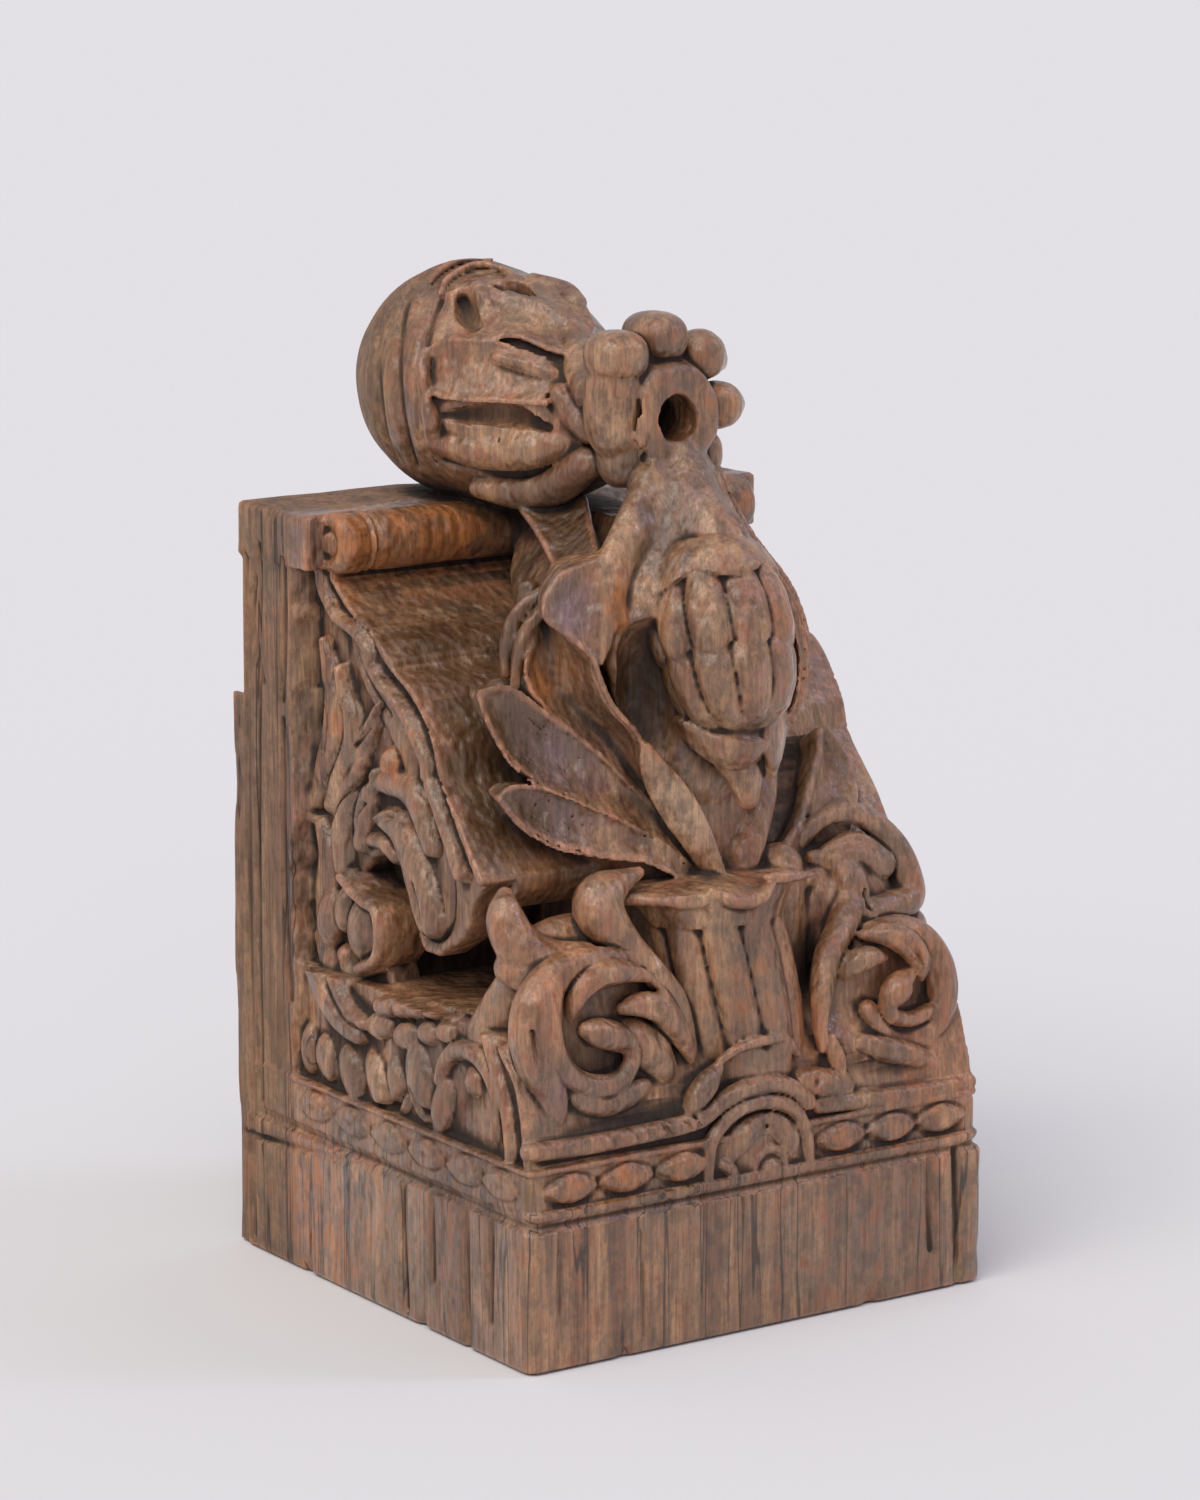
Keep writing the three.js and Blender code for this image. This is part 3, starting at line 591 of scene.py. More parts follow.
@dataclass
class SideFace:
    """The carving on one side: bead down the S, tongue, volute, flame leaves, ledge and row of leaves.

    A ridge's or a boss's rise counts from the ground. Creases are cut on the side that the photo shows.
    """

    hand: Hand
    fine: float = 1.0
    bead: float = 3.1
    bead_rise: float = 6.0
    bead_base: float = 86.6
    lip_half: float = 3.4
    lip_rise: float = 3.6
    lower_ground: float = 94.0
    bead_runs: tuple[Pairs, ...] = (
        ((49, 262), (47, 254), (39, 246), (25, 242), (17, 237), (15.5, 231.5)),
        ((13, 230), (9, 226), (-3, 220), (-12, 212), (-20, 203), (-21, 197.5)),
        ((-23, 195), (-28, 188), (-34, 179), (-39, 171), (-42, 166)),
    )
    lip: Pairs = (
        (42, 260), (30, 251), (16, 245), (6, 236), (-7, 229), (-19, 220), (-26, 210), (-30, 199), (-38, 188),
        (-47, 176), (-55, 165))
    flame_ridges: tuple[tuple[Trail, float], ...] = (
        (((30, 243, 2.5), (24, 233, 6), (15, 224, 7), (5, 214, 6), (-4, 204, 5), (-9, 192, 3)), 2.6),
        (((48, 236, 2), (45, 224, 5), (42, 212, 7), (44, 200, 7), (50, 188, 6), (55, 176, 4)), 5.2),
        (((36, 228, 1.5), (33, 217, 4), (29, 208, 5.5), (31, 198, 6), (38, 187, 5), (44, 176, 4)), 6.0),
        (((12, 217, 1.5), (18, 208, 4), (25, 200, 5.5), (33, 189, 5), (39, 178, 4)), 4.6),
        (((22, 196, 2), (29, 186, 5), (35, 176, 6.5), (38, 165, 6), (37, 154, 4)), 5.6),
        (((14, 193, 2), (19, 184, 5), (23, 174, 6), (25, 165, 4)), 5.0),
        (((54, 216, 2), (57, 204, 4), (55, 192, 4)), 3.4),
        (((52, 168, 3), (48, 156, 6), (50, 144, 7), (51, 134, 5)), 5.0),
        (((16, 188, 2), (8, 190.5, 5), (-3, 191, 6), (-12, 187, 6), (-17, 180, 5), (-22, 172, 4)), 5.4),
        (((12, 176, 2), (5, 177, 5), (-3, 174, 7), (-10, 166, 8), (-16, 155, 8.5), (-21, 145, 7)), 6.4),
        (((16, 168, 3), (7, 168, 4), (1, 165, 4)), 5.4),
    )
    worn_peg: Boss = ((1.5, 198), (6.5, 4.2), 78, 8.0, 1)
    flame_creases: tuple[Pairs, ...] = (
        ((13, 175), (4, 178.5), (-5, 179.5), (-12, 177)),
        ((17, 190), (26, 185), (35, 179), (41, 171)),
        ((28, 237), (22, 229), (14, 222), (4, 215)),
        ((19, 181), (24, 176), (27, 169)),
        ((47, 219), (44, 208), (46, 196)),
        ((33, 214), (33, 202), (40, 190)),
        ((10, 217), (17, 208), (25, 201)),
    )
    crease_half: float = 1.5
    crease_depth: float = 2.4
    volute_ridges: tuple[tuple[Trail, float], ...] = (
        (((32, 152, 3), (20, 146.5, 3.4), (9, 144, 3.6), (5.5, 136, 3.8), (9, 126, 3.6), (20, 120, 3.4)),
         9.0),
        (((50, 126, 5), (45, 116, 6.5), (38, 107, 6), (27, 100, 5), (16, 97, 4)), 6.5),
        (((36, 122, 4), (31, 113, 4.5), (22, 105, 4), (12, 102, 3)), 5.5),
    )
    volute_bosses: tuple[Boss, ...] = (
        ((22, 134), (9.5, 12.5), 8, 8.0, 1),
        ((35, 139), (5, 9.5), 8, 7.0, 1),
        ((45, 133), (7, 12.5), 8, 8.0, 1),
    )
    volute_creases: tuple[tuple[Trail, float], ...] = (
        (((-5.5, 148, 1.6), (-9, 140, 1.7), (-18, 137.5, 1.8), (-27, 140.5, 1.7), (-31.5, 147, 1.6),
          (-33, 155, 1.5), (-33, 161, 1.2)),
         3.0),
        (((-15, 158, 1.4), (-17.5, 150, 2.6), (-19.5, 143, 1.4)), 3.4),
        (((-3, 171, 1.4), (-9, 160, 1.8), (-12, 149, 1.2)), 1.8),
    )
    bar: Trail = ((2, 110.5, 3.6), (-11, 112.5, 3.8), (-28, 116, 4), (-45, 119.5, 4), (-57, 121.5, 4))
    bar_rise: float = 4.5
    bar_cuts: Pairs = ((-8, 112), (-17, 114), (-27, 116), (-38, 118), (-44, 119.5))
    lower_bosses: tuple[Boss, ...] = (
        ((40, 83), (6, 9), -20, 4.4, 0.2),
        ((23, 81), (7, 11), -25, 4.4, 0.2),
        ((5, 82), (6, 12), -28, 4.4, 0.2),
        ((-9, 84), (5, 11), -22, 4.4, 0.2),
        ((-23, 88), (8, 15), -15, 4.4, 0.2),
        ((-38, 82), (6, 12), 14, 4.4, 0.2),
        ((3, 103), (9, 5), -12, 4.4, 0.2),
        ((-14, 103), (8, 5), -16, 4.4, 0.2),
        ((-29, 107), (6, 4.5), -10, 4.4, 0.2),
        ((-41, 110), (6, 4), -5, 4.4, 0.2),
        ((52, 84), (5, 10), 0, 4.4, 0.2),
        ((-58, 96), (5, 5.6), 0, 4.0, 0),
    )
    lower_ridges: tuple[tuple[Trail, float], ...] = (
        (((-37, 92, 3), (-40, 99, 3.4), (-48, 105, 3.6), (-59, 106, 3.6), (-69, 101, 3.6), (-74, 92, 3.4),
          (-73, 80, 3)),
         4.2),
        (((-64, 119, 2.4), (-70, 110, 3), (-75, 100, 3.2), (-80, 88, 3.2), (-82, 74, 3)), 4.0),
        (((-74, 117, 3), (-82, 110, 3.4), (-89, 102, 3.6), (-93, 90, 3.6), (-95, 74, 3.4)), 4.6),
    )
    creases: tuple[tuple[Trail, float], ...] = (
        (((-20, 84, 2.0), (-24, 78, 3.4), (-30, 78, 2.0)), 5.0),
        (((12, 71, 1.6), (-8, 76, 2.6), (-14, 83, 1.2)), 3.4),
    )

    def width(self, baulk: Baulk, y: np.ndarray, z: np.ndarray) -> np.ndarray:
        """Half width of the body at each place of the side.

        Args:
            baulk: The timber that the face belongs to.
            y: Places along Y, as a column.
            z: Places along Z, as a row.

        Returns:
            The half width, in millimetres.
        """
        seed = 40 if self.hand is Hand.LEFT else 70
        panel = Panel(y, z)
        self.flames(panel)
        self.volute(panel)
        self.lower(panel)
        ragged = 2.2 * noise(y * 0, y * 0, z, (9, 9, 17), seed)
        ragged = ragged + 1.0 * noise(y * 0, y * 0, z, (9, 9, 5), seed + 1)
        ground = np.where(z < baulk.ledge - 1, self.lower_ground, baulk.panel) + 0 * y
        step = np.clip((y - (baulk.margin_front + ragged)) / 3.0 + 0.5, 0, 1)
        margin = baulk.half - 1.8 + 0.7 * noise(y * 0, y, z, (9, 7, 60), seed + 2)
        face = (ground + panel.height) * (1 - step) + margin * step
        edge = self.edge(panel, face)
        return edge - 0.35 * (1 - step) * noise(y * 0, y, z, (9, 5, 16), seed + 3)

    def edge(self, panel: Panel, face: np.ndarray) -> np.ndarray:
        """Adds the bead and the thin lip that run down the S to the nose."""
        before = panel.height
        panel.height = np.zeros_like(before)
        for run in self.bead_runs:
            panel.ridge([(u, v, self.bead) for u, v in run], self.bead_rise)
        bead = panel.height
        panel.height = np.zeros_like(before)
        panel.ridge([(u, v, self.lip_half) for u, v in self.lip], self.lip_rise)
        lip = np.clip(panel.height * 1.6, 0, 3.2)
        panel.height = before
        bead_face = np.where(bead > 0, self.bead_base + bead, 0)
        lip_face = np.where(lip > 0.2, self.bead_base + lip, 0)
        return np.maximum(face, np.maximum(bead_face, lip_face))

    def flames(self, panel: Panel) -> None:
        """The flame-like leaves in the field behind the bead, and the worn peg among them."""
        for run, rise in self.flame_ridges:
            panel.ridge(run, rise * self.fine)
        panel.lens(self.worn_peg, self.fine)
        if self.hand is Hand.LEFT:
            for run in self.flame_creases:
                panel.groove([(u, v, self.crease_half) for u, v in run], self.crease_depth)

    def volute(self, panel: Panel) -> None:
        """The round boss in its C-shaped ring, the lobes behind it and the stem that runs down from it."""
        for run, rise in self.volute_ridges:
            panel.ridge(run, rise * self.fine)
        for boss in self.volute_bosses:
            panel.lens(boss, self.fine)
        for run, depth in self.volute_creases:
            panel.groove(run, depth)

    def lower(self, panel: Panel) -> None:
        """The cut bar along the ledge, the row of leaves, the small scroll and the ridges at the corner."""
        panel.ridge(self.bar, self.bar_rise * self.fine)
        for u, v in self.bar_cuts:
            panel.groove([(u + 0.8, v + 5, 1.3), (u - 0.8, v - 5, 1.3)], 3.4)
        for boss in self.lower_bosses:
            panel.lens(boss, self.fine)
        for run, rise in self.lower_ridges:
            panel.ridge(run, rise * self.fine)
        if self.hand is Hand.LEFT:
            for run, depth in self.creases:
                panel.groove(run, depth)


@dataclass
class Band:
    """The band of almond ovals round the top of the plinth, left out where the medallion stands.

    Attributes:
        middle: Height of the ovals' middles.
        long: Half of an oval's length, and high half of its height.
        rise: How far an oval stands out.
        worn: Share of the rise that the weathered sides keep.
        side_end: Place where the side ovals stop before the back.
    """

    middle: float = 64.2
    long: float = 11.5
    high: float = 5.4
    rise: float = 2.7
    worn: float = 0.75
    side_end: float = 54.0
    front_ovals: tuple[float, ...] = (-80.5, -57.0, -33.0, 36.5, 59.0, 81.0)
    side_ovals: tuple[float, ...] = (44.0, 18.0, -7.0, -32.0, -57.0, -80.0)

    def oval(self, along: np.ndarray, z: np.ndarray, centre: float) -> np.ndarray:
        """Height of one almond oval over the band."""
        u = (along - centre) / self.long
        v = (z - self.middle) / self.high
        point = np.clip(1 - np.abs(u) ** 1.7, 0, 1)
        inside = np.clip(1 - (np.abs(v) / np.maximum(point, 1e-3)) ** 2, 0, 1)
        groove = np.clip(1 - np.abs(np.hypot(u, v) - 1.05) / 0.14, 0, 1)
        return np.where(np.abs(u) < 1, np.sqrt(inside) * self.rise * point**0.3, 0) - 0.7 * groove

    def face(self, x: np.ndarray, z: np.ndarray) -> np.ndarray:
        """Height of the front's carving over the plinth's face."""
        total = np.zeros(np.broadcast(x, z).shape, np.float32)
        for centre in self.front_ovals:
            total = total + self.oval(x, z, centre)
        return total

    def side(self, y: np.ndarray, z: np.ndarray) -> np.ndarray:
        """Height of the sides' carving, which weather has made lower."""
        total = np.zeros(np.broadcast(y, z).shape, np.float32)
        for centre in self.side_ovals:
            total = total + self.oval(y, z, centre) * self.worn
        return np.where(y < self.side_end, total, 0)


@dataclass
class Stem:
    """The web behind the stem, the neck under the rosette and the hood that opens round the bud.

    The web's rows are height, half width, front and back, and the neck's height, half width, centre and half
    depth. Each further rim of the hood lies a step aside from the first and ahead of it.
    """

    middle: float = 2.0
    neck_middle: float = 1.0
    web: tuple[tuple[float, ...], ...] = (
        (71, 26, -78, 14), (108, 26, -76, 14), (158, 24, -70, 14), (181, 24, -66, -20), (204, 30, -62, -12),
        (226, 34, -58, 6), (243, 34, -56, 16), (258, 27, -54, 30), (272, 18, -50, 38), (283, 13, -44, 44))
    neck: tuple[tuple[float, ...], ...] = (
        (176, 6, -60, 3), (192, 18, -62, 7), (209, 28, -61, 11), (224, 36, -58, 15), (238, 40, -57, 17),
        (252, 39, -56, 19), (266, 32, -54, 18), (277, 25, -50, 16), (289, 19, -46, 14), (299, 17, -42, 12),
        (308, 15, -37, 9))
    hood_rim: Trail = (
        (19, -44, 301), (21.5, -49, 289.5), (27, -54, 277), (33.5, -58, 267), (39.5, -60, 258),
        (43.5, -62, 247), (44, -64, 238), (40.5, -67, 226), (34, -70, 217), (26, -73, 209), (19, -75, 202))
    hood_steps: Pairs = ((0.0, 0.0), (-4.4, -5.5), (-8.4, -10.5))
    hood_petals: tuple[Petal, ...] = (
        Petal(((-32, 6, 284), (-34, -8, 277), (-38, -24, 268), (-44, -38, 261), (-50, -46, 256)),
              ((-16, -10, 288), (-22, -22, 281), (-28, -34, 276), (-34, -44, 272), (-40, -50, 268)),
              hollow=4, thick=1.4, back=(6, 4, 0), blend=1.0),
        Petal(((-55, -54, 270), (-60.5, -53, 262.5), (-61, -54, 256), (-55.5, -57, 250.5), (-47, -60, 241)),
              ((-38, -58, 275), (-38, -61, 264.5), (-39.5, -63, 256), (-42, -63, 247), (-45, -62, 240)),
              hollow=1.5, thick=1.8, back=(3, 14, 0), blend=1.2),
    )
    left_shoulder: Run = (
        (-5, -41, 303, 7), (-14, -46, 292, 8), (-25, -52, 281, 8), (-34, -56, 272, 7), (-38, -60, 262, 5),
        (-37.5, -62, 254, 3.5))
    right_shoulder: Run = ((3, -42, 304, 9), (2, -52, 290, 10), (4, -62, 278, 12))
    left_rims: tuple[Run, ...] = (
        ((-49.5, -36, 262, 2.4), (-56, -34, 257.5, 2.8), (-60, -32, 252, 3), (-62.5, -31, 243, 3),
         (-63, -31, 233, 2.2)),
        ((-51.5, -40, 258, 2.4), (-58, -38, 250.5, 2.6), (-61.5, -37, 242, 2.6), (-63.5, -37, 229, 1.8)),
    )
    hollows: tuple[tuple[Point, Point], ...] = (
        ((-27, -74, 226), (12.5, 21, 30)),
        ((-31, -70, 240), (8, 13, 14)),
    )
    fans: tuple[Run, ...] = (
        ((-5, -60, 301, 1.2), (-12, -64, 293, 1.8), (-22, -69, 286, 2.0), (-31, -73, 278, 1.8),
         (-36, -74, 270, 1.2)),
        ((0, -60, 300, 0.9), (-5, -67, 290, 1.4), (-9, -73, 282, 1.2)),
        ((7, -60, 301, 1.1), (9, -67, 289, 1.6), (13, -74, 278, 1.8), (19, -78, 268, 1.6),
         (24, -80, 258, 1.4)),
        ((11, -56, 302, 1.0), (15, -63, 290, 1.2), (20, -70, 278, 1.4), (27, -74, 266, 1.3),
         (31, -78, 255, 1.1)),
    )

    def carve(self, block: Block) -> None:
        """Leaves the web, the neck and the hood standing, with the folds that fan down them."""
        web = np.array(self.web)
        neck = np.array(self.neck)

        def web_form(x: np.ndarray, y: np.ndarray, z: np.ndarray) -> np.ndarray:
            """A rounded column whose width and depth change with height."""
            half, front, back = (np.interp(z, web[:, 0], web[:, k]) for k in (1, 2, 3))
            gap = -smooth_min(half - np.abs(x - self.middle), np.minimum(y - front, back - y), 9)
            return np.maximum(gap, np.maximum(web[0, 0] - z, z - web[-1, 0]))

        def neck_form(x: np.ndarray, y: np.ndarray, z: np.ndarray) -> np.ndarray:
            """An oval column that swells into the hood."""
            half, centre, deep = (np.interp(z, neck[:, 0], neck[:, k]) for k in (1, 2, 3))
            dx, dy = x - self.neck_middle, y - centre
            q = np.hypot(dx / half, dy / deep)
            return np.maximum((q - 1) * deep, np.maximum(neck[0, 0] - z, z - neck[-1, 0]))

        block.add((-45, -80, 70), (50, 46, 285), web_form, 2.0)
        block.add((-45, -84, 174), (46, -20, 309), neck_form, 2.0)
        self.hood(block)
        self.hollow(block)
        self.folds(block)

    def hood(self, block: Block) -> None:
        """The hood: three thin rims on the right, two petals and the strands that carry them on the left."""
        for step, (aside, ahead) in enumerate(self.hood_steps):
            edge = self.hood_rim[step // 2:len(self.hood_rim) - step]
            rim = [(x + aside, y + ahead, z - 1.5 * step) for x, y, z in edge]
            inner = [(x - 4.5, y - 2.0, z) for x, y, z in rim]
            block.blade(Petal(rim, inner, hollow=1.6, thick=1.0, back=(-2, 9, 0), blend=0.4))
        for petal in self.hood_petals:
            block.blade(petal)
        block.strand(self.left_shoulder, blend=2.5, flat=0.7)
        block.strand(self.right_shoulder, blend=3.0)
        for run in self.left_rims:
            block.strand(run, blend=0.8)

    def hollow(self, block: Block) -> None:
        """The dark hollow on the left of the bud, with a crisp rim."""
        for centre, half in self.hollows:
            block.egg(centre, half, blend=1.0, cut=True)

    def folds(self, block: Block) -> None:
        """The shallow folds that fan down the neck and over the cap."""
        for run in self.fans:
            block.strand(run, cut=True, blend=0.5)


@dataclass
class Vase:
    """The fluted vase at the foot of the stem, with a flared lip and small leaves curled over it.

    It leans back and to the left as it rises. A profile is a share of the height with the radius there.
    """

    foot: Point = (5.0, -81.5, 96.0)
    tall: float = 62.0
    lean: float = 10.0
    shift: float = -10.0
    flat: float = 0.62
    flutes: int = 9
    phase: float = 1.57
    bowl_profile: Pairs = (
        (-0.05, 19), (0.0, 22), (0.06, 24.5), (0.3, 27), (0.6, 27.5), (0.8, 27), (0.95, 28))
    lip_profile: Pairs = ((0.80, 26), (0.90, 29), (0.98, 33), (1.04, 35))
    curls: tuple[Run, ...] = (
        ((-45, -70, 155, 1.6), (-40, -77, 157.5, 3.2), (-31, -83, 157, 3.8), (-22, -87.5, 156, 3.4),
         (-16, -91, 159, 1.6)),
        ((-17, -90.5, 160.5, 1.4), (-9, -93, 156, 3.8), (1, -93.5, 156, 4.0), (8, -92.5, 160.5, 1.6)),
        ((6, -91.5, 162, 1.8), (13, -91.5, 161.5, 3.4), (22, -89.5, 160.5, 2.6), (32, -86, 159, 0.9)),
    )
    curl_creases: tuple[Run, ...] = (
        ((-44, -77, 160.5, 0.6), (-33, -86, 161, 0.8), (-22, -90.5, 159.5, 0.6)),
        ((-14, -94.5, 160.5, 0.6), (-3, -97, 160, 0.8), (6, -95, 162.5, 0.6)),
        ((-44, -75, 152, 0.7), (-30, -85.5, 151.5, 1.0), (-17, -91.5, 154, 0.8)),
    )
    spine: Run = ((30, -66, 158, 9), (33, -64, 130, 9), (34, -64, 105, 10))

    def carve(self, block: Block) -> None:
        """Leaves the vase standing in front of the web."""
        x0, y0, z0 = self.foot

        def round_vase(x: np.ndarray, y: np.ndarray, z: np.ndarray) -> tuple[np.ndarray, ...]:
            """Share of the height, distance from the leaning axis and turn about it."""
            t = (z - z0) / self.tall
            dx = x - x0 - self.shift * t
            dy = (y - y0 - self.lean * t) / self.flat
            return t, np.hypot(dx, dy), np.arctan2(dx, -dy)

        def bowl(x: np.ndarray, y: np.ndarray, z: np.ndarray) -> np.ndarray:
            """The bowl, with pillowed flutes parted by deep grooves."""
            t, r, turn = round_vase(x, y, z)
            wave = np.abs(np.cos(turn * self.flutes / 2 + self.phase))
            size = profile(t, self.bowl_profile)
            gap = (r - size * (0.80 + 0.21 * wave**0.42)) * 0.75
            return np.maximum(gap, np.maximum(z0 - 4 - z, z - z0 - self.tall * 1.02))

        def lip(x: np.ndarray, y: np.ndarray, z: np.ndarray) -> np.ndarray:
            """The lip: a flared dish with a crisp scalloped edge."""
            t, r, turn = round_vase(x, y, z)
            leafy = np.abs(np.cos(turn * 4.5 + 0.55))
            reach = profile(t, self.lip_profile) + 1.8 * leafy**0.5
            top = z0 + self.tall * 1.02 + np.clip(35 - r, 0, 30) * 0.1
            return -smooth_min((reach - r) * 0.7, np.minimum(z - z0 - self.tall * 0.8, top - z), 0.8)

        block.add((-34, -100, 88), (40, -46, 164), bowl, 0.8)
        block.add((-50, -100, 138), (46, -40, 176), lip, 0.6)
        for run in self.curls:
            block.strand(run, blend=0.4, flat=0.7, way=(0, 0, 1))
        for run in self.curl_creases:
            block.strand(run, cut=True, blend=0.3)
        block.strand(self.spine, blend=2.0)


@dataclass
class Bud:
    """The hanging bud: two rows of fat lobes under a smooth cap, and the torn stub below it.

    Split and cap edge are places along its axis, as those in the girth are.
    """

    centre: Point = (1.5, -73.0, 242.0)
    axis: Point = (0.0, 0.326, 0.945)
    flat: float = 0.86
    lobes: int = 9
    split: float = 0.0
    cap_edge: float = 24.0
    girth: Pairs = (
        (-32, 0), (-31, 8), (-28, 15), (-24, 19.5), (-16, 23.4), (-7, 25.6), (4, 26.4), (16, 25.4),
        (26, 22.5), (33, 19), (38, 14), (42, 0))
    stub_run: Run = ((2, -76, 214, 12), (3, -77.5, 206, 10), (5, -79, 198, 7.5), (6, -80, 189, 4.6))
    collar: tuple[Point, Point] = ((0, -79, 212), (15, 10.5, 6))
    stub_petals: tuple[Petal, ...] = (
        Petal(((-18, -76, 217.5), (-12, -85, 213), (-3, -90, 210.5), (7, -90, 210.5)),
              ((-15, -76, 209), (-10, -82, 204), (-2, -85, 201.5), (5, -86, 203)),
              hollow=-1.0, thick=1.2, back=(1, 9, 2), blend=1.0),
        Petal(((9, -87, 217), (8, -88, 210), (10, -88, 203), (13.5, -84, 197)),
              ((21, -80, 219), (22, -79, 212), (19.5, -80, 204), (14.5, -82, 197)),
              hollow=-1.5, thick=1.8, back=(-1, 8, 0)),
    )
    splinters: tuple[Run, ...] = (
        ((6, -89.5, 206, 1.0), (7.5, -90, 198, 1.2), (9, -88, 190, 1.0)),
        ((-1, -89, 203, 0.9), (1, -89, 196, 1.3), (3, -87, 190, 1.0)),
    )

    def carve(self, block: Block) -> None:
        """Leaves the bud standing in the hood."""
        x0, y0, z0 = self.centre
        _, ay, az = self.axis

        def form(x: np.ndarray, y: np.ndarray, z: np.ndarray) -> np.ndarray:
            """The lobed egg, its upper row lying over the lower like scales."""
            dx, dy, dz = x - x0, y - y0, z - z0
            s = dy * ay + dz * az
            w = (dz * ay - dy * az) / self.flat
            r, turn = np.hypot(dx, w), np.arctan2(dx, w)
            upper = np.abs(np.cos(turn * self.lobes / 2 + 0.2))
            lower = np.abs(np.cos(turn * self.lobes / 2 + 0.55))
            scale = np.abs(np.cos(turn * self.lobes / 4 + 0.3))
            edge = self.split - 3.0 * upper**1.5
            rim = self.cap_edge + 3.0 - 5.0 * scale
            base = profile(s, self.girth)
            pillow = np.sqrt(np.abs(np.sin(np.clip((s - edge) / (rim - edge), 0, 1) * math.pi)))
            top = base * (0.81 + 0.19 * upper**0.4) + 1.8 * pillow - 0.6
            foot = np.sqrt(np.abs(np.sin(np.clip((s + 31) / (edge + 31), 0, 1) * math.pi)))
            rows = np.where(s > edge, top, base * (0.80 + 0.18 * lower**0.4) + 1.8 * foot - 1.2)
            rows = np.where(s > rim, base + 0.4 + 0.8 * scale, rows)
            return (r - rows) * 0.7

        block.add((-28, -100, 198), (36, -40, 282), form, 0.6)
        self.stub(block)

    def stub(self, block: Block) -> None:
        """The base rim, the torn stub and the pointed petals round it."""
        block.strand(self.stub_run, blend=1.0, flat=0.8)
        block.egg(*self.collar, blend=1.5)
        for petal in self.stub_petals:
            block.blade(petal)
        for run in self.splinters:
            block.strand(run, cut=True, blend=0.4)


@dataclass
class Rosette:
    """The flower at the top: a chipped boss with an empty peg hole in a ring of petals, two torn off.

    A knob has a middle, half sizes and the radius of its neck.
    """

    centre: Point = (2.0, -34.0, 322.6)
    middle: Point = (0.0, -40.0, 319.8)
    boss: float = 20.5
    front: float = -46.0
    bore: float = 8.2
    bore_end: float = -20.0
    stalk: Run = ((0, 14, 316, 19), (1, -6, 317, 20), (2, -26, 320, 21))
    collar: Run = ((1, -23, 322, 21), (1, -6, 320, 20))
    knobs: tuple[tuple[Point, Point, float], ...] = (
        ((-20.0, -36, 342.5), (10.8, 11.5, 9.0), 8.0),
        ((0.0, -31, 347.5), (10.2, 13, 9.0), 9.0),
        ((18.5, -31, 339.5), (8.8, 11, 8.6), 8.0),
        ((25.5, -33, 321.5), (8.4, 9, 8.4), 8.0),
        ((20.5, -31, 304.5), (6.5, 8.5, 8.5), 5.0),
        ((-11.5, -43, 297.5), (6.8, 6.8, 6.6), 4.0),
    )
    points: tuple[Run, ...] = (
        ((26, -33, 321.5, 7.8), (31, -33.5, 321.5, 5.4), (36, -34, 321, 1.2)),
        ((19, -32, 341, 7.8), (25, -32, 338, 5.0), (29, -32, 335, 1.4)),
    )
    chips: tuple[Run, ...] = (
        ((-10, -46, 338, 0.8), (-12, -46.5, 328, 1.3), (-10, -46.5, 319, 1.1), (-13, -46, 309, 0.8)),
        ((6, -46, 337, 0.8), (11, -46.5, 330, 1.2), (12, -46, 322, 0.8)),
    )
    torn_knobs: tuple[tuple[Point, Point], ...] = (
        ((-20, -34, 325), (9.5, 11, 19)),
        ((-16, -33, 308), (8, 9, 13)),
    )
    splinters: int = 9

    def carve(self, block: Block) -> None:
        """Leaves boss and petals standing and bores the hole."""
        mx, my, mz = self.middle
        cx, cy, cz = self.centre
        block.strand(self.stalk, blend=2.0)

        def form(x: np.ndarray, y: np.ndarray, z: np.ndarray) -> np.ndarray:
            """The boss: eight faces, rounded over to the front, chipped on the left."""
            dx, dz = x - mx, z - mz
            turn = np.arctan2(dz, dx)
            fold = np.mod(turn + math.pi / 8, math.pi / 4) - math.pi / 8
            r = np.hypot(dx, dz) * (0.55 + 0.45 * np.cos(fold))
            chip = noise(x, y, z, (4, 4, 11), 301) * np.clip(-dx / 14, 0.25, 1)
            edge = self.boss - 2.2 * np.clip((-38 - y) / 8, 0, 1)
            gap = -smooth_min(edge - r, np.minimum(y - self.front, -10 - y), 3)
            return gap + 1.5 * chip

        block.add((-24, -50, 292), (28, -8, 346), form, 1.2)
        block.strand(self.collar, blend=2.0)
        for place, half, neck in self.knobs:
            self.knob(block, place, half)
            tip = 0.8 * np.array(place) + 0.2 * np.array([cx, cy + 6, cz])
            block.strand([(cx, cy + 4, cz, 12), (*tip, neck)], 1.0)
        for run in self.points:
            block.strand(run, blend=2.0)
        self.torn(block)

        def hole(x: np.ndarray, y: np.ndarray, z: np.ndarray) -> np.ndarray:
            """The peg hole, round and a little ragged."""
            r = np.hypot(x - mx, z - mz)
            return np.maximum(r - self.bore + 0.5 * noise(x, y, z, (5, 9, 5), 305), y - self.bore_end)

        block.cut((mx - 12, -56, mz - 12), (mx + 12, -18, mz + 12), hole, 0.8)
        for run in self.chips:
            block.strand([(mx + aside, y, z, r) for aside, y, z, r in run], cut=True, blend=0.4)

    def knob(self, block: Block, place: Point, half: Point) -> None:
        """Leaves a petal's end standing, square like a pillow."""

        def form(x: np.ndarray, y: np.ndarray, z: np.ndarray) -> np.ndarray:
            """Distance to a rounded box that bulges."""
            q = (np.abs((x - place[0]) / half[0]) ** 2.4 + np.abs((y - place[1]) / half[1]) ** 2.4
                 + np.abs((z - place[2]) / half[2]) ** 2.4) ** (1 / 2.4)
            return (q - 1) * min(half) * 0.9

        low, high = ([c + side * (h + 4) for c, h in zip(place, half)] for side in (-1, 1))
        block.add(tuple(low), tuple(high), form, 0.8)

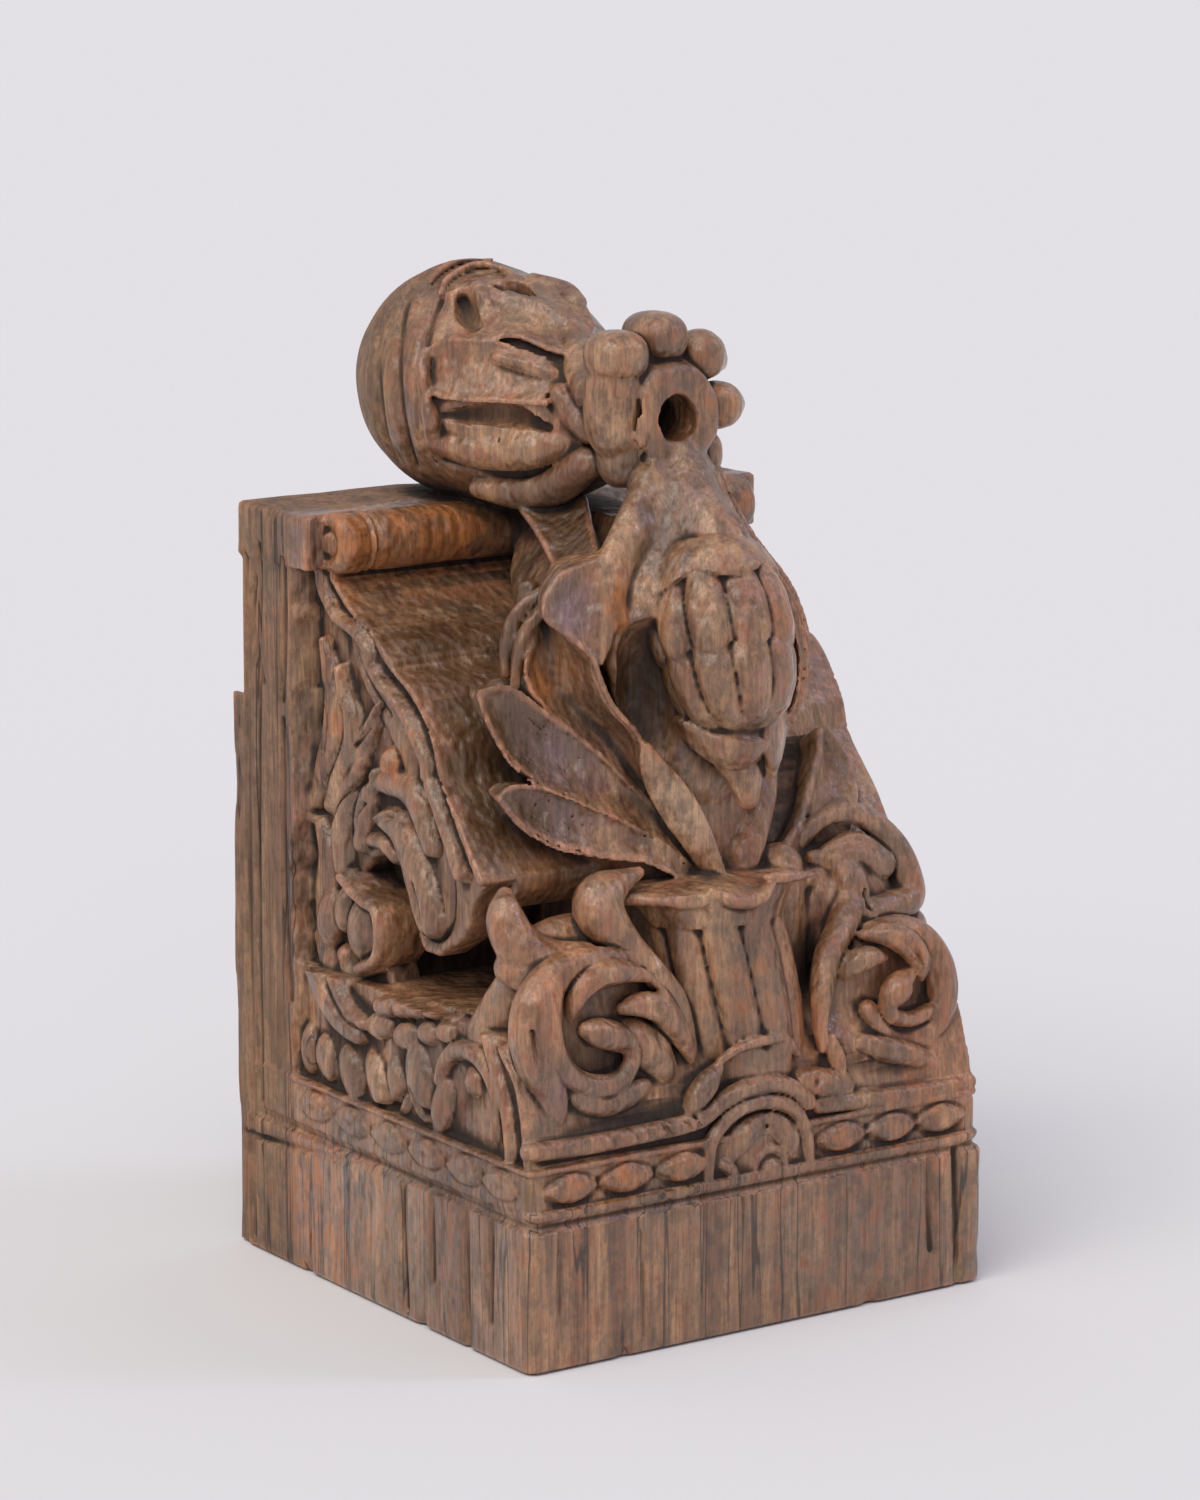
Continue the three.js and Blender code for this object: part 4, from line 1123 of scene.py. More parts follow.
    def torn(self, block: Block) -> None:
        """The two petals on the left that broke away and left splintered wood."""
        for place, half in self.torn_knobs:
            self.knob(block, place, half)
        for k in range(self.splinters):
            x = -29.0 + 2.0 * k
            top, foot = 336 - 4.2 * ((k * 2) % 3), 303 + 3.4 * ((k * 3) % 4)
            y = -44.0 + 0.03 * (x + 20) ** 2
            tear = [(x, y, top, 0.5), (x + 1.1, y - 0.4, (top + foot) / 2, 1.2), (x - 0.4, y, foot, 0.5)]
            block.strand(tear, cut=True, blend=0.3)


@dataclass
class Crown:
    """The bud lying on the slab: a ringed dome at the back and long petals that close on the rosette.

    Attributes:
        centre: Middle of the dome, and radius its size.
        droop: How fast the axis drops as it comes forward, and drift how fast it moves aside.
        girth: Place ahead of the dome's middle, and the bud's share of the radius there.
        rings: Grooves round the dome, from the back to the front.
        petals: Both rims of each gutter-like petal, with its hollow.
        folds: Strands that lie on the petals.
        slits: Strands cut between the petals.
    """

    centre: Point = (-13.0, 71.0, 323.7)
    radius: float = 43.6
    droop: float = 0.12
    drift: float = 0.05
    girth: Pairs = (
        (-34, 0.42), (-26, 0.74), (-14, 0.9), (-3, 0.985), (0, 1.0), (12, 1.0), (27, 0.965), (39, 0.92),
        (54, 0.8), (75, 0.56), (88, 0.36))
    rings: tuple[Run, ...] = (
        ((-30, 72, 363, 1.2), (-46.5, 76, 350, 1.5), (-54.5, 67, 338.5, 1.7), (-56, 64, 326, 1.7),
         (-55.5, 63, 315, 1.7), (-52, 65, 303.5, 1.6), (-46.5, 67, 293.5, 1.4)),
        ((-30, 70, 364, 1.2), (-38.5, 66.5, 359.5, 1.5), (-45.5, 62.5, 351, 1.8), (-52, 56, 339.5, 1.8),
         (-54.5, 52.5, 327, 1.8), (-54.5, 51, 316.5, 1.8), (-51.5, 51.5, 305, 1.8), (-46, 54.5, 295, 1.5)),
        ((-38, 50, 355, 1.6), (-44.5, 47, 348.5, 2.4), (-49.5, 43.5, 338.5, 2.4), (-52.5, 41, 328.5, 2.4),
         (-53, 40, 317.5, 2.4), (-51, 40, 306.5, 2.2), (-46.5, 41.5, 298, 1.6)),
    )
    petals: tuple[tuple[tuple[Point, ...], tuple[Point, ...], float], ...] = (
        (((-12, 44, 364), (-8.5, 31, 361), (0.5, 28, 358), (3, 19, 354), (0, 8, 348)),
         ((-22, 31, 358.5), (-17, 20.5, 356), (-11, 13, 352.5), (-9.5, 7, 349), (-7, 1, 344.5)), 1.5),
        (((-37, 47, 357.5), (-31, 42.5, 360), (-27, 34, 359.5), (-22, 26, 357.5), (-16, 18, 355),
          (-11.5, 11, 351), (-9.5, 3, 346)),
         ((-45, 34.5, 344.5), (-41.5, 25, 343.5), (-35.5, 16.5, 345), (-30.5, 11.5, 345.5), (-26, 4.5, 343),
          (-23, -1, 341), (-18, -5.5, 339.5)),
         4.0),
        (((-51, 41, 337), (-47.5, 34.5, 342.5), (-42, 23.5, 343), (-36.5, 15, 343), (-31.5, 6.5, 340.5),
          (-26, -2.5, 338.5)),
         ((-53.5, 36.5, 325.5), (-51.5, 28.5, 323.5), (-47.5, 18.5, 323), (-41.5, 7.5, 323.5),
          (-36.5, -1, 323.5), (-31, -9, 323.5)),
         3.5),
    )
    folds: tuple[Run, ...] = (
        ((-51, 40, 338.5, 1.8), (-53, 38.5, 333, 2.8), (-53.5, 36, 326.5, 2.0)),
        ((-53.5, 35.5, 324, 1.6), (-54, 33.5, 319, 2.8), (-53, 32.5, 313.5, 3.2), (-51, 34.5, 307, 3.0),
         (-47.5, 36.5, 300, 1.6)),
        ((-47, 33, 306, 5), (-41, 22, 304.5, 7), (-35, 11.5, 305, 8), (-30, 0, 306.5, 8),
         (-25, -9, 308.5, 6)),
        ((-38, 24, 290, 4), (-29, 9, 290, 7), (-23.5, -5, 294, 7.5), (-23, -22, 303, 6)),
        ((-37, 13.5, 338, 2.2), (-31, 4.5, 336, 3.4), (-25.5, -3.5, 333, 2.6)),
        ((-8, 8, 344.5, 4), (-12.5, -1, 339.5, 5.5), (-17, -9.5, 333, 6), (-22, -22, 327, 5)),
        ((-25, -9, 326, 4.5), (-23.5, -15, 320.5, 5.5), (-23, -24, 315, 5)),
        ((-37, 51, 357.5, 1.2), (-32, 55, 362, 1.3), (-24.5, 56, 365.2, 1.4), (-16.5, 55.5, 366.8, 1.4),
         (-11.5, 48, 365, 1.3), (-10.5, 37, 362, 1.1)),
        ((-36, 60, 361, 1.1), (-28, 63, 365.5, 1.3), (-18, 64, 368, 1.3), (-8, 62, 367.5, 1.1)),
        ((-27, 44, 360, 2.6), (-28.5, 37, 358.5, 3.2), (-29, 33, 355, 2.2)),
        ((-3, 42, 361, 3), (3.5, 32, 357, 4.5), (2.5, 22, 354, 4)),
    )
    slits: tuple[Run, ...] = (
        ((-50, 29, 316.5, 1.6), (-46, 22, 317, 3.0), (-41.5, 13, 318, 4.0), (-36.5, 4, 318, 4.2),
         (-32.5, -2, 316.5, 3.0), (-29.5, -8, 314.5, 1.6)),
        ((-46.5, 36, 299, 1.5), (-42.5, 24, 297, 1.9), (-36.5, 13.5, 296, 2.0), (-31, 2, 297.5, 2.0),
         (-26, -9.5, 303.5, 1.6)),
        ((-33, 43, 355.5, 2.4), (-35.5, 36.5, 352, 4.2), (-36.5, 29.5, 347.5, 3)),
        ((-19, 41, 360.5, 2.2), (-16, 33, 359, 4.0), (-15, 26, 356.5, 2.2)),
        ((-38, 47, 355, 0.8), (-42.5, 41.5, 349, 1.1), (-44.5, 35.5, 344, 0.9)),
        ((-29, -7, 326, 1.0), (-29.5, -9, 320, 1.1), (-30, -9.5, 313.5, 0.9)),
        ((-41.5, 8, 321, 0.6), (-40.5, 8, 309, 0.7), (-37, 13, 297.5, 0.6)),
        ((-37, 1, 321, 0.5), (-36.5, 1, 309.5, 0.6), (-33.5, 3.5, 300, 0.5)),
        ((-30, 44, 358, 0.8), (-29.5, 50, 361, 0.9), (-24, 52, 363.5, 0.8)),
        ((-34, 8.5, 342.5, 0.7), (-28.5, 0.5, 340, 0.8), (-22, -6, 336.5, 0.7)),
    )

    def carve(self, block: Block) -> None:
        """Leaves the bud standing, then parts its petals."""
        x0, y0, z0 = self.centre

        def form(x: np.ndarray, y: np.ndarray, z: np.ndarray) -> np.ndarray:
            """The bud as a body of revolution whose axis drops as it comes forward."""
            ahead = y0 - y
            fore = np.clip(ahead, 0, 90)
            r = np.hypot(x - x0 - self.drift * fore, z - z0 + self.droop * fore)
            size = profile(ahead, self.girth) * self.radius
            return np.maximum((r - size) * 0.9, np.maximum(y - 99.5, -20 - y))

        block.add((-62, -22, 272), (38, 101, 370), form, 1.4)
        for run in self.rings:
            block.strand(run, cut=True, blend=1.6)
        for one, other, hollow in self.petals:
            block.blade(Petal(one, other, hollow, thick=1.1, back=(3.5, 4, -2.5), blend=1.2))
        for run in self.folds:
            block.strand(run, blend=0.7)
        for run in self.slits:
            block.strand(run, cut=True, blend=0.5)


@dataclass
class Leaves:
    """The cupped leaves that spring from the stem to both sides, and the wood between them."""

    stalks: tuple[Run, ...] = (
        ((-38, -8, 256, 5), (-44, -16, 244, 6), (-46, -26, 224, 8), (-42, -38, 209, 6)),
        ((-60, -22, 224, 6), (-44, -40, 198, 9), (-22, -52, 178, 9), (-2, -62, 158, 9)),
        ((-66, -40, 188, 5), (-40, -50, 174, 8), (-10, -60, 158, 9)),
        ((34, -40, 215, 7), (28, -55, 192, 8), (16, -66, 170, 7), (6, -70, 153, 5)),
    )
    petals: tuple[Petal, ...] = (
        Petal(((-51, -36, 260), (-56.5, -39, 246), (-61, -41, 239), (-62, -42, 233), (-61, -44, 228),
               (-58, -46, 223.5), (-52.5, -49, 217.5), (-46, -52, 211), (-38.5, -56, 203.5),
               (-30.5, -60, 194), (-22, -63, 185.5), (-8, -68, 168)),
              ((-54, -50, 258), (-56, -57, 252.5), (-53.5, -60, 248), (-48.5, -63, 242), (-47, -65, 235.5),
               (-44, -67, 227), (-39.5, -68.5, 220.5), (-35, -69.5, 215.5), (-31.5, -70, 209),
               (-28, -70.5, 199), (-20, -71, 184), (-4, -71, 163)),
              hollow=13, thick=1.2, back=(5, 9, 0)),
        Petal(((-80, -42, 230), (-73.5, -43, 231.5), (-68, -44, 229.5), (-63.5, -46, 226), (-59, -48, 222),
               (-52, -50, 215.5), (-45, -52, 209.5), (-38.5, -55, 203), (-32, -58, 195.5),
               (-25.5, -61, 188.5), (-19, -64, 182), (-13, -67, 174), (-3, -71, 160)),
              ((-81, -42, 227.5), (-80, -43, 221.5), (-77.5, -45, 214.5), (-74, -48, 206.5), (-70, -51, 201),
               (-65, -54, 197), (-60.5, -57, 194.5), (-54, -60, 191.5), (-47.5, -62, 188), (-41, -64, 185),
               (-32.5, -66, 180), (-21.5, -69, 173), (-7, -72, 160)),
              hollow=4.5, thick=0.9, back=(2, 9, -1)),
        Petal(((-79, -52, 194.5), (-75.5, -53, 197.5), (-68.5, -54, 197), (-61.5, -55, 195), (-56, -57, 192),
               (-47.5, -60, 187.5), (-37.5, -63.5, 181.5), (-29, -66.5, 176), (-21.5, -69, 171),
               (-8, -72, 158)),
              ((-80.5, -53, 193), (-78, -55, 188.5), (-73.5, -57, 183), (-68, -59, 179), (-62, -61, 175.5),
               (-53.5, -64, 173), (-45, -66.5, 171), (-36.5, -69, 169.5), (-30, -71, 168), (-11, -74, 158)),
              hollow=3.2, thick=0.9, back=(2, 9, 1)),
    )
    cracks: tuple[Run, ...] = (
        ((-48, -54.5, 211.5, 0.9), (-48, -53.5, 207, 1.1), (-49, -54, 202.5, 0.9), (-50, -56, 198.5, 0.7)),
        ((-24.5, -65, 187, 1.3), (-25.5, -68, 179.5, 1.6), (-28.5, -73, 169.5, 1.6)),
        ((-34.5, -68.5, 212, 0.8), (-33, -67, 204, 1.2), (-27.5, -62, 194.5, 1.2)),
    )
    front_petal: Petal = Petal(
        ((-32.5, -72, 210), (-33, -71.5, 204), (-29.5, -71, 194), (-22.5, -71.5, 182.5), (-13, -72.5, 170),
         (-4, -73, 157)),
        ((-32, -72.5, 210.5), (-28, -73.5, 206), (-20.5, -75, 197.5), (-13.5, -76, 188),
         (-7.5, -76.5, 176), (0, -76, 158)),
        hollow=-1.2, thick=1.3, back=(2, 8, 0))
    curl: Run = (
        (70, -38, 198, 2), (68, -44, 182, 9), (57, -53, 167, 9.5), (40, -62, 157, 7.5), (20, -68, 153, 4))

    def carve(self, block: Block) -> None:
        """Leaves the leaves standing."""
        for run in self.stalks:
            block.strand(run, 2.0)
        for petal in self.petals:
            block.blade(petal)
        for crack in self.cracks:
            block.strand(crack, cut=True, blend=0.3)
        block.blade(self.front_petal)
        block.leaf(self.curl, (0.15, -0.8, 0.55), thick=1.8, cup=4, back=9, rim=0.2)


@dataclass
class Scrolls:
    """The leafy scrolls on both sides of the vase: coiled rims, curled leaves and horns, and dark hollows.

    Attributes:
        roots: Strands that join the scrolls to the body.
        masses: Centre and half sizes of the wood that a scroll is cut from.
        left: Strands of the left scroll, from the back to the front.
        right: Strands of the right scroll.
        hollows: Strands cut out between the leaves.
        creases: Fine grooves along the leaves.
    """

    roots: tuple[Run, ...] = (
        ((-84, -58, 113, 11), (-84, -68, 130, 8)),
        ((-44, -56, 113, 12), (-42, -72, 130, 8)),
        ((50, -56, 113, 11), (48, -72, 130, 7)),
        ((84, -56, 113, 10), (86, -70, 130, 7)),
    )
    masses: tuple[tuple[Point, Point], ...] = (
        ((-62, -80, 113), (33, 8.5, 27)),
        ((-58, -80, 100), (32, 9, 18)),
        ((66, -78, 112), (31, 8, 26)),
        ((62, -80, 94), (34, 9, 16)),
        ((-64, -70, 140), (24, 9, 14)),
        ((60, -66, 138), (22, 10, 20)),
    )
    left: tuple[Run, ...] = (
        ((-87, -66, 163, 3), (-89, -69, 156, 6.5), (-87, -72, 148, 8), (-82, -75, 142, 8.5),
         (-75, -80, 140, 8), (-66, -83, 141, 6)),
        ((-88, -72, 138.5, 6.5), (-84.5, -78, 136.5, 6.5), (-80.5, -84, 137.5, 5)),
        ((-23, -86, 98.5, 3.4), (-26, -86, 110.5, 4.4), (-30, -86, 121.5, 5), (-37, -86, 131, 5),
         (-43, -84, 138.5, 5), (-50, -82, 146, 6.5), (-55.5, -78, 154, 9), (-54, -76, 160, 8.5),
         (-46, -75, 163.5, 5), (-36.5, -74, 166, 2.2)),
        ((-44, -86, 137.5, 3), (-59.5, -87, 141, 4), (-72.5, -88, 141.5, 5), (-83, -88, 137, 6.5),
         (-90, -89, 129.5, 7.5), (-91.5, -89, 119, 8), (-89, -89, 108, 7.5), (-84.5, -89, 98.5, 6.5),
         (-82.5, -89, 89.5, 5)),
        ((-78.5, -91, 139.5, 2.5), (-84, -92, 132.5, 3.6), (-86, -93, 122.5, 4.4), (-84, -93, 112.5, 4.6),
         (-79.5, -93, 104.5, 4.4), (-72, -93, 99.5, 4), (-63.5, -93, 97.5, 4), (-56.5, -93, 99, 3.6),
         (-52.5, -93, 104.5, 3.2), (-52.5, -92, 109, 3.2), (-58, -93, 113.5, 5), (-66.5, -94, 117, 5.2),
         (-71.5, -93, 118.5, 3)),
        ((-43.5, -91, 133, 2), (-56, -92, 136.5, 3.8), (-67, -93, 136.5, 4.8), (-74, -93, 132, 4.2),
         (-77, -92, 126, 2.6), (-77, -91, 122.5, 1.2)),
        ((-56, -92, 123.5, 2.2), (-48, -92, 124, 4.4), (-40, -92, 121, 5), (-32.5, -91, 113, 4.4),
         (-27, -90, 105, 3), (-23, -88, 98, 1.5)),
        ((-77, -91, 97, 2.5), (-71.5, -92, 93, 4), (-63, -92, 90.5, 4.4), (-54.5, -92, 92.5, 4.6),
         (-46, -90, 93.5, 3.6)),
        ((-25.5, -91, 100, 1.2), (-29, -91.5, 112.5, 1.3), (-35.5, -92, 123.5, 1.4), (-44, -91.5, 133, 1.4),
         (-56, -92, 140, 1.3), (-68.5, -92, 141, 1.3)),
        ((-50, -87, 113, 7), (-42, -87, 106, 8), (-36, -87, 98, 6)),
    )
    right: tuple[Run, ...] = (
        ((58, -84, 134, 4), (70, -85, 134, 5), (80, -86, 129, 5.5), (86.5, -87, 119, 6),
         (88.5, -87, 108, 6.2), (86, -87, 99, 5.6), (78, -87, 93.5, 5), (68, -87, 93.5, 4.4),
         (59.5, -88, 99, 3.6), (54, -88, 107, 3.4)),
        ((53, -86, 134, 2), (61, -90, 134, 4.4), (69, -92, 129.5, 5), (74.5, -92, 122.5, 4),
         (76, -91, 116, 1.6)),
        ((43, -86, 120.5, 3), (47, -89, 125, 4.6), (52.5, -91, 127, 4), (59.5, -91, 125.5, 1.4)),
        ((68.5, -92, 117, 4), (63.5, -93, 114, 5.6), (60, -92, 109, 3.4), (63.5, -91, 103.5, 3),
         (72.5, -90, 101, 3), (81, -89, 102.5, 3)),
        ((31, -92, 96.5, 2), (30.5, -91, 107, 3.2), (33.5, -88, 118.5, 4.5), (39, -84, 128, 5),
         (50, -78, 136.5, 6), (57, -72, 143.5, 7.5), (58, -69, 150.5, 8), (53.5, -66, 157, 5),
         (46.5, -64, 159.5, 2.5)),
        ((45.5, -58, 164, 3), (53, -60, 171.5, 3.4), (64, -62, 173.5, 4), (74, -64, 168.5, 4.6),
         (82, -66, 159.5, 5.4), (85, -69, 150, 6), (84.5, -72, 141, 6), (73, -74, 139, 6),
         (62, -76, 138.5, 6)),
        ((49.5, -90, 96, 3), (59, -92, 92, 4.4), (70.5, -92, 88.5, 4.2), (81.5, -91, 83, 3.4)),
        ((39, -92, 84, 2.5), (36.5, -93, 92, 3.4), (34.5, -92, 100, 2)),
        ((48, -88, 82, 5), (66, -88, 79, 6), (88, -87, 79, 6)),
        ((54, -66, 158, 6), (64, -66, 160, 7), (74, -68, 154, 6)),
    )
    hollows: tuple[Run, ...] = (
        ((-80.5, -96, 134, 1.8), (-81.5, -97, 127, 2.6), (-80, -97, 119, 3.4), (-77, -97, 111.5, 3.6)),
        ((-76, -97, 110, 4), (-70, -97, 106.5, 4.8), (-62, -97, 105.5, 4.6), (-57, -96, 108, 3)),
        ((-71, -97, 127.5, 3.4), (-65, -97, 130, 4.2), (-57, -96, 130.5, 3.2)),
        ((-67, -97, 124, 2.6), (-56, -97, 119.5, 2.6), (-46, -96, 116, 2.8), (-37.5, -95, 108.5, 2.6),
         (-31.5, -94, 100.5, 2)),
        ((56.5, -96, 130, 2), (63, -97, 124, 3.4), (69, -96, 121, 3), (72, -96, 112, 3.4),
         (77, -95, 107, 3.4), (70, -94, 106, 3)),
        ((44, -93, 116.5, 2.4), (50, -94, 119.5, 2.8), (56, -95, 121.5, 2.6)),
        ((47, -70, 163, 3), (56, -72, 166.5, 4.4), (66, -74, 165, 4.6), (75, -76, 158, 4.6),
         (76, -78, 150, 4)),
        ((40, -86, 114, 3), (43, -84, 122, 3), (50, -82, 130, 2.4)),
    )
    creases: tuple[Run, ...] = (
        ((-95, -95, 122, 1.0), (-93, -96, 110, 1.1), (-89, -96, 98, 1.0)),
        ((-90.5, -97, 109.5, 1.0), (-86.5, -98, 105, 1.2), (-83, -98, 100.5, 1.2), (-81, -97, 96, 1)),
        ((-60, -97, 138, 0.9), (-69, -98, 136, 1.0), (-75, -97, 130, 0.9)),
        ((-54, -96, 124, 0.9), (-45, -97, 122.5, 1.0), (-36, -96, 115, 0.9)),
        ((88, -92, 126, 0.9), (92, -93, 114, 1.1), (91, -93, 101, 1.0)),
        ((60, -95, 134, 0.9), (68, -96.5, 130, 1.0), (73, -95, 122, 0.9)),
        ((56, -72, 152, 1.0), (60, -77, 147, 1.4), (61, -80, 141, 1.2)),
    )

    def carve(self, block: Block) -> None:
        """Leaves the scrolls and their horns standing."""
        for run in self.roots:
            block.strand(run, blend=1.6)
        for centre, half in self.masses:
            block.egg(centre, half, blend=2.0)
        for run in self.left + self.right:
            block.strand(run, blend=0.5, spacing=2.0)
        for run in self.hollows:
            block.strand(run, cut=True, blend=0.8, spacing=2.0)
        for run in self.creases:
            block.strand(run, cut=True, blend=0.3)


@dataclass
class Medallion:
    """The arched medallion under the vase, the leaf dome over it and the toothed ridge along the band.

    Attributes:
        dome: Centre and half sizes of the wood over the medallion, and heart those of its middle.
        ridge: Strands of the ridge, the arches and the leaves.
        teeth: Count of teeth along the ridge, a pitch apart from the start.
        gap: The stretch along X that the medallion takes, where there are no teeth.
        left_teeth: Height of the teeth on the left, and right_teeth on the right.
    """

    dome: tuple[Point, Point] = ((3.5, -88, 93), (16, 8.5, 12))
    heart: tuple[Point, Point] = ((5, -94, 57.5), (6, 5.4, 4.6))
    teeth: int = 28
    start: float = -95.0
    pitch: float = 6.9
    gap: tuple[float, float] = (-24.0, 26.0)
    left_teeth: float = 78.5
    right_teeth: float = 76.0
    ridge: tuple[Run, ...] = (
        ((-96, -94, 79, 3.2), (-89.5, -94.5, 78.5, 3.4), (-71.5, -95, 78, 3.4), (-50.5, -95.5, 78.5, 3.4),
         (-29.5, -96, 79.5, 3.4), (-22, -96, 81.5, 3.2), (-16, -96, 85, 3.2), (-7, -96, 88, 3.4),
         (5, -96, 88.5, 3.4), (14.5, -96, 85.5, 3.2), (22, -96, 79, 3)),
        ((27, -95, 77, 3.2), (41.5, -95, 76, 3.2), (55, -95, 75.5, 3.2), (68.5, -95, 75, 3),
         (96, -94, 75, 3)),
        ((-22.5, -96.4, 58, 2.4), (-22, -96.4, 66, 2.6), (-20.5, -96.4, 72, 2.8), (-15.5, -96.4, 77.5, 2.8),
         (-8, -96.6, 81.5, 2.8), (2, -96.6, 82.5, 2.8), (12, -96.6, 79.5, 2.8), (18, -96.4, 73.5, 2.8),
         (21, -96.4, 65.5, 2.6), (22, -96.4, 57, 2.2)),
        ((-13, -95, 64, 3), (-9, -94.4, 69, 5.2), (-3.5, -94.4, 73, 5.2), (1.5, -95.4, 76, 2.6)),
        ((5, -95.4, 76, 2.6), (9, -94.4, 72, 5.0), (13, -94.4, 67, 5.0), (15, -95, 62, 2.6)),
        ((-2, -96.4, 58, 1.3), (-1, -96.6, 62, 1.5), (4.5, -96.8, 65, 1.5), (10, -96.6, 62, 1.5),
         (11.5, -96.4, 57.5, 1.3)),
        ((-15, -94, 99.5, 1.6), (-9, -95.5, 103, 1.8), (0.5, -96, 104.5, 2), (13.5, -94, 103, 1.6),
         (20, -92, 96, 1.4)),
        ((-15.5, -93, 97, 2.2), (-22, -95, 92, 4.4), (-26.5, -95, 87.5, 4.2), (-30, -94, 82, 1.8)),
        ((22, -92, 86, 5), (31, -93, 84, 5.6), (40, -92, 82, 4.6)),
        ((-16, -97, 62.5, 2.0), (-13, -97.4, 60, 2.6), (-10, -97, 57, 1.4)),
    )
    creases: tuple[Run, ...] = (
        ((-96, -99, 73.6, 1.5), (-70, -99.5, 73.6, 1.6), (-49, -99.5, 73.8, 1.6), (-27.5, -99.5, 75, 1.6),
         (-20.5, -99.5, 78, 1.5), (-13, -99.5, 82.5, 1.3), (-5.5, -99.5, 85, 1.3), (3.5, -99.5, 85.5, 1.3),
         (11, -99.5, 82.8, 1.3), (19, -99.5, 76.5, 1.4)),
        ((25, -99, 72, 1.5), (47.5, -99.5, 71, 1.6), (65.5, -99.5, 70.8, 1.6), (96, -99, 70.8, 1.5)),
        ((25.5, -96, 97.5, 1.5), (26, -97, 88.5, 1.6), (23, -99, 80, 1.5), (21, -100, 69.5, 1.4),
         (22.5, -100, 54, 1.2)),
        ((-7, -99.6, 66, 0.9), (-4, -99.8, 71, 1.1), (2, -99.8, 74, 0.8)),
        ((8, -99.8, 73, 0.8), (12, -99.8, 69, 1.1), (13, -99.6, 64, 0.8)),
        ((-24, -99, 89, 0.8), (-20, -99.5, 94, 1.0)),
    )

    def carve(self, block: Block) -> None:
        """Leaves the medallion and the ridge standing, and cuts the ridge's teeth."""
        block.egg(*self.dome, blend=1.2)
        for run in self.ridge:
            block.strand(run, blend=0.5, spacing=2.0)
        block.egg(*self.heart, blend=0.6)
        for run in self.creases:
            block.strand(run, cut=True, blend=0.3, spacing=2.0)
        for k in range(self.teeth):
            x = self.start + self.pitch * k + 1.5 * math.sin(2.3 * k)
            if self.gap[0] < x < self.gap[1]:
                continue
            z = self.left_teeth if x < 0 else self.right_teeth
            block.strand([(x - 1.8, -97.6, z + 3.8, 1.0), (x + 1.0, -98.8, z - 3.0, 1.2)], cut=True,
                         blend=0.3)


@dataclass
class Weather:
    """The worn swell of the S front, and age: chipped arrises and long cracks along the upright grain.

    The swell is drawn on the right and mirrored. Cracks are opened wider than the real ones, so that the
    mesh can hold them.
    """

    swell: Run = ((85, 12.3, 236.5, 3), (78, 15, 231.5, 10), (62, 15.8, 230.8, 11), (34, 15.8, 230.8, 11))
    flutings: Trail = ((2.5, 234, 1.2), (21, 245.5, 0.9), (37, 255.5, 1.2))
    fluting_span: tuple[float, float] = (34, 88)
    chips: Run = (
        (-101.5, -101.5, 44, 4.6), (-101, -102, 21, 4.2), (-102, -101, 4, 5.0), (101, -102, 40, 4.6),
        (101.5, -101.5, 12, 5.0), (-60, -102, 0, 4.0), (48, -102, 0, 4.4), (-102, -30, 0, 4.2),
        (-102, 48, 0, 4.0), (-101, 37, 284, 4.0), (-101, 70, 285, 4.4), (-101.5, 96, 200, 4.0))
    chip_tall: float = 1.8
    cracks: tuple[tuple[Trail, float], ...] = (
        (((-100, -19, 56), (-100, -18, 40), (-100, -20, 4)), 1.0),
        (((-100, -37, 54), (-100, -38, 20)), 0.9),
        (((-100, -59, 54), (-100, -60, 2)), 1.2),
        (((-100, -76, 54), (-100, -75, 14)), 0.9),
        (((75, -100, 50), (75, -100, 33), (76, -100, 16)), 1.2),
        (((87, -99, 51.5), (87.5, -100, 25), (88.5, -100, 2)), 1.2),
        (((-52, -100, 44), (-51, -100, 6)), 0.8),
        (((-86, -100, 50), (-87, -100, 8)), 0.8),
        (((-98, 83, 254), (-99, 85.5, 238.5), (-99, 78, 217.5)), 1.3),
        (((-99.5, 61.5, 264), (-99, 62, 235), (-99, 64, 212.5)), 1.2),
        (((-99.5, 77.5, 267.5), (-99, 80.5, 210), (-99, 82.5, 134.5), (-99, 82.5, 58)), 1.0),
        (((-98.5, 64, 205), (-98.5, 64.5, 156.5), (-98.5, 61, 101)), 1.0),
        (((-100, 88, 262), (-100, 89, 150), (-100, 88, 4)), 1.4),
        (((-97.5, 96, 43), (-100, 52.5, 46.5), (-100, -14, 52), (-99, -92.5, 56.5)), 0.7),
    )
    crack_open: float = 1.9

    def carve(self, block: Block) -> None:
        """Leaves the swell standing, then cuts the grooves, the chips and the cracks."""
        near, far = self.fluting_span
        for way in (-1, 1):
            block.strand([(x * way, y, z, r) for x, y, z, r in self.swell], blend=0.6)
        for y, z, width in self.flutings:
            block.strand([(-far, y, z, width), (-near, y, z, width)], cut=True, blend=0.4, spacing=8)
            block.strand([(near, y, z, width), (far, y, z, width)], cut=True, blend=0.4, spacing=8)
        for x, y, z, size in self.chips:
            block.egg((x, y, z), (size, size, self.chip_tall * size), cut=True, blend=0.8)
        for run, width in self.cracks:
            line = [(*place, self.crack_open * width) for place in run]
            block.strand(line, cut=True, blend=0.3, spacing=6)


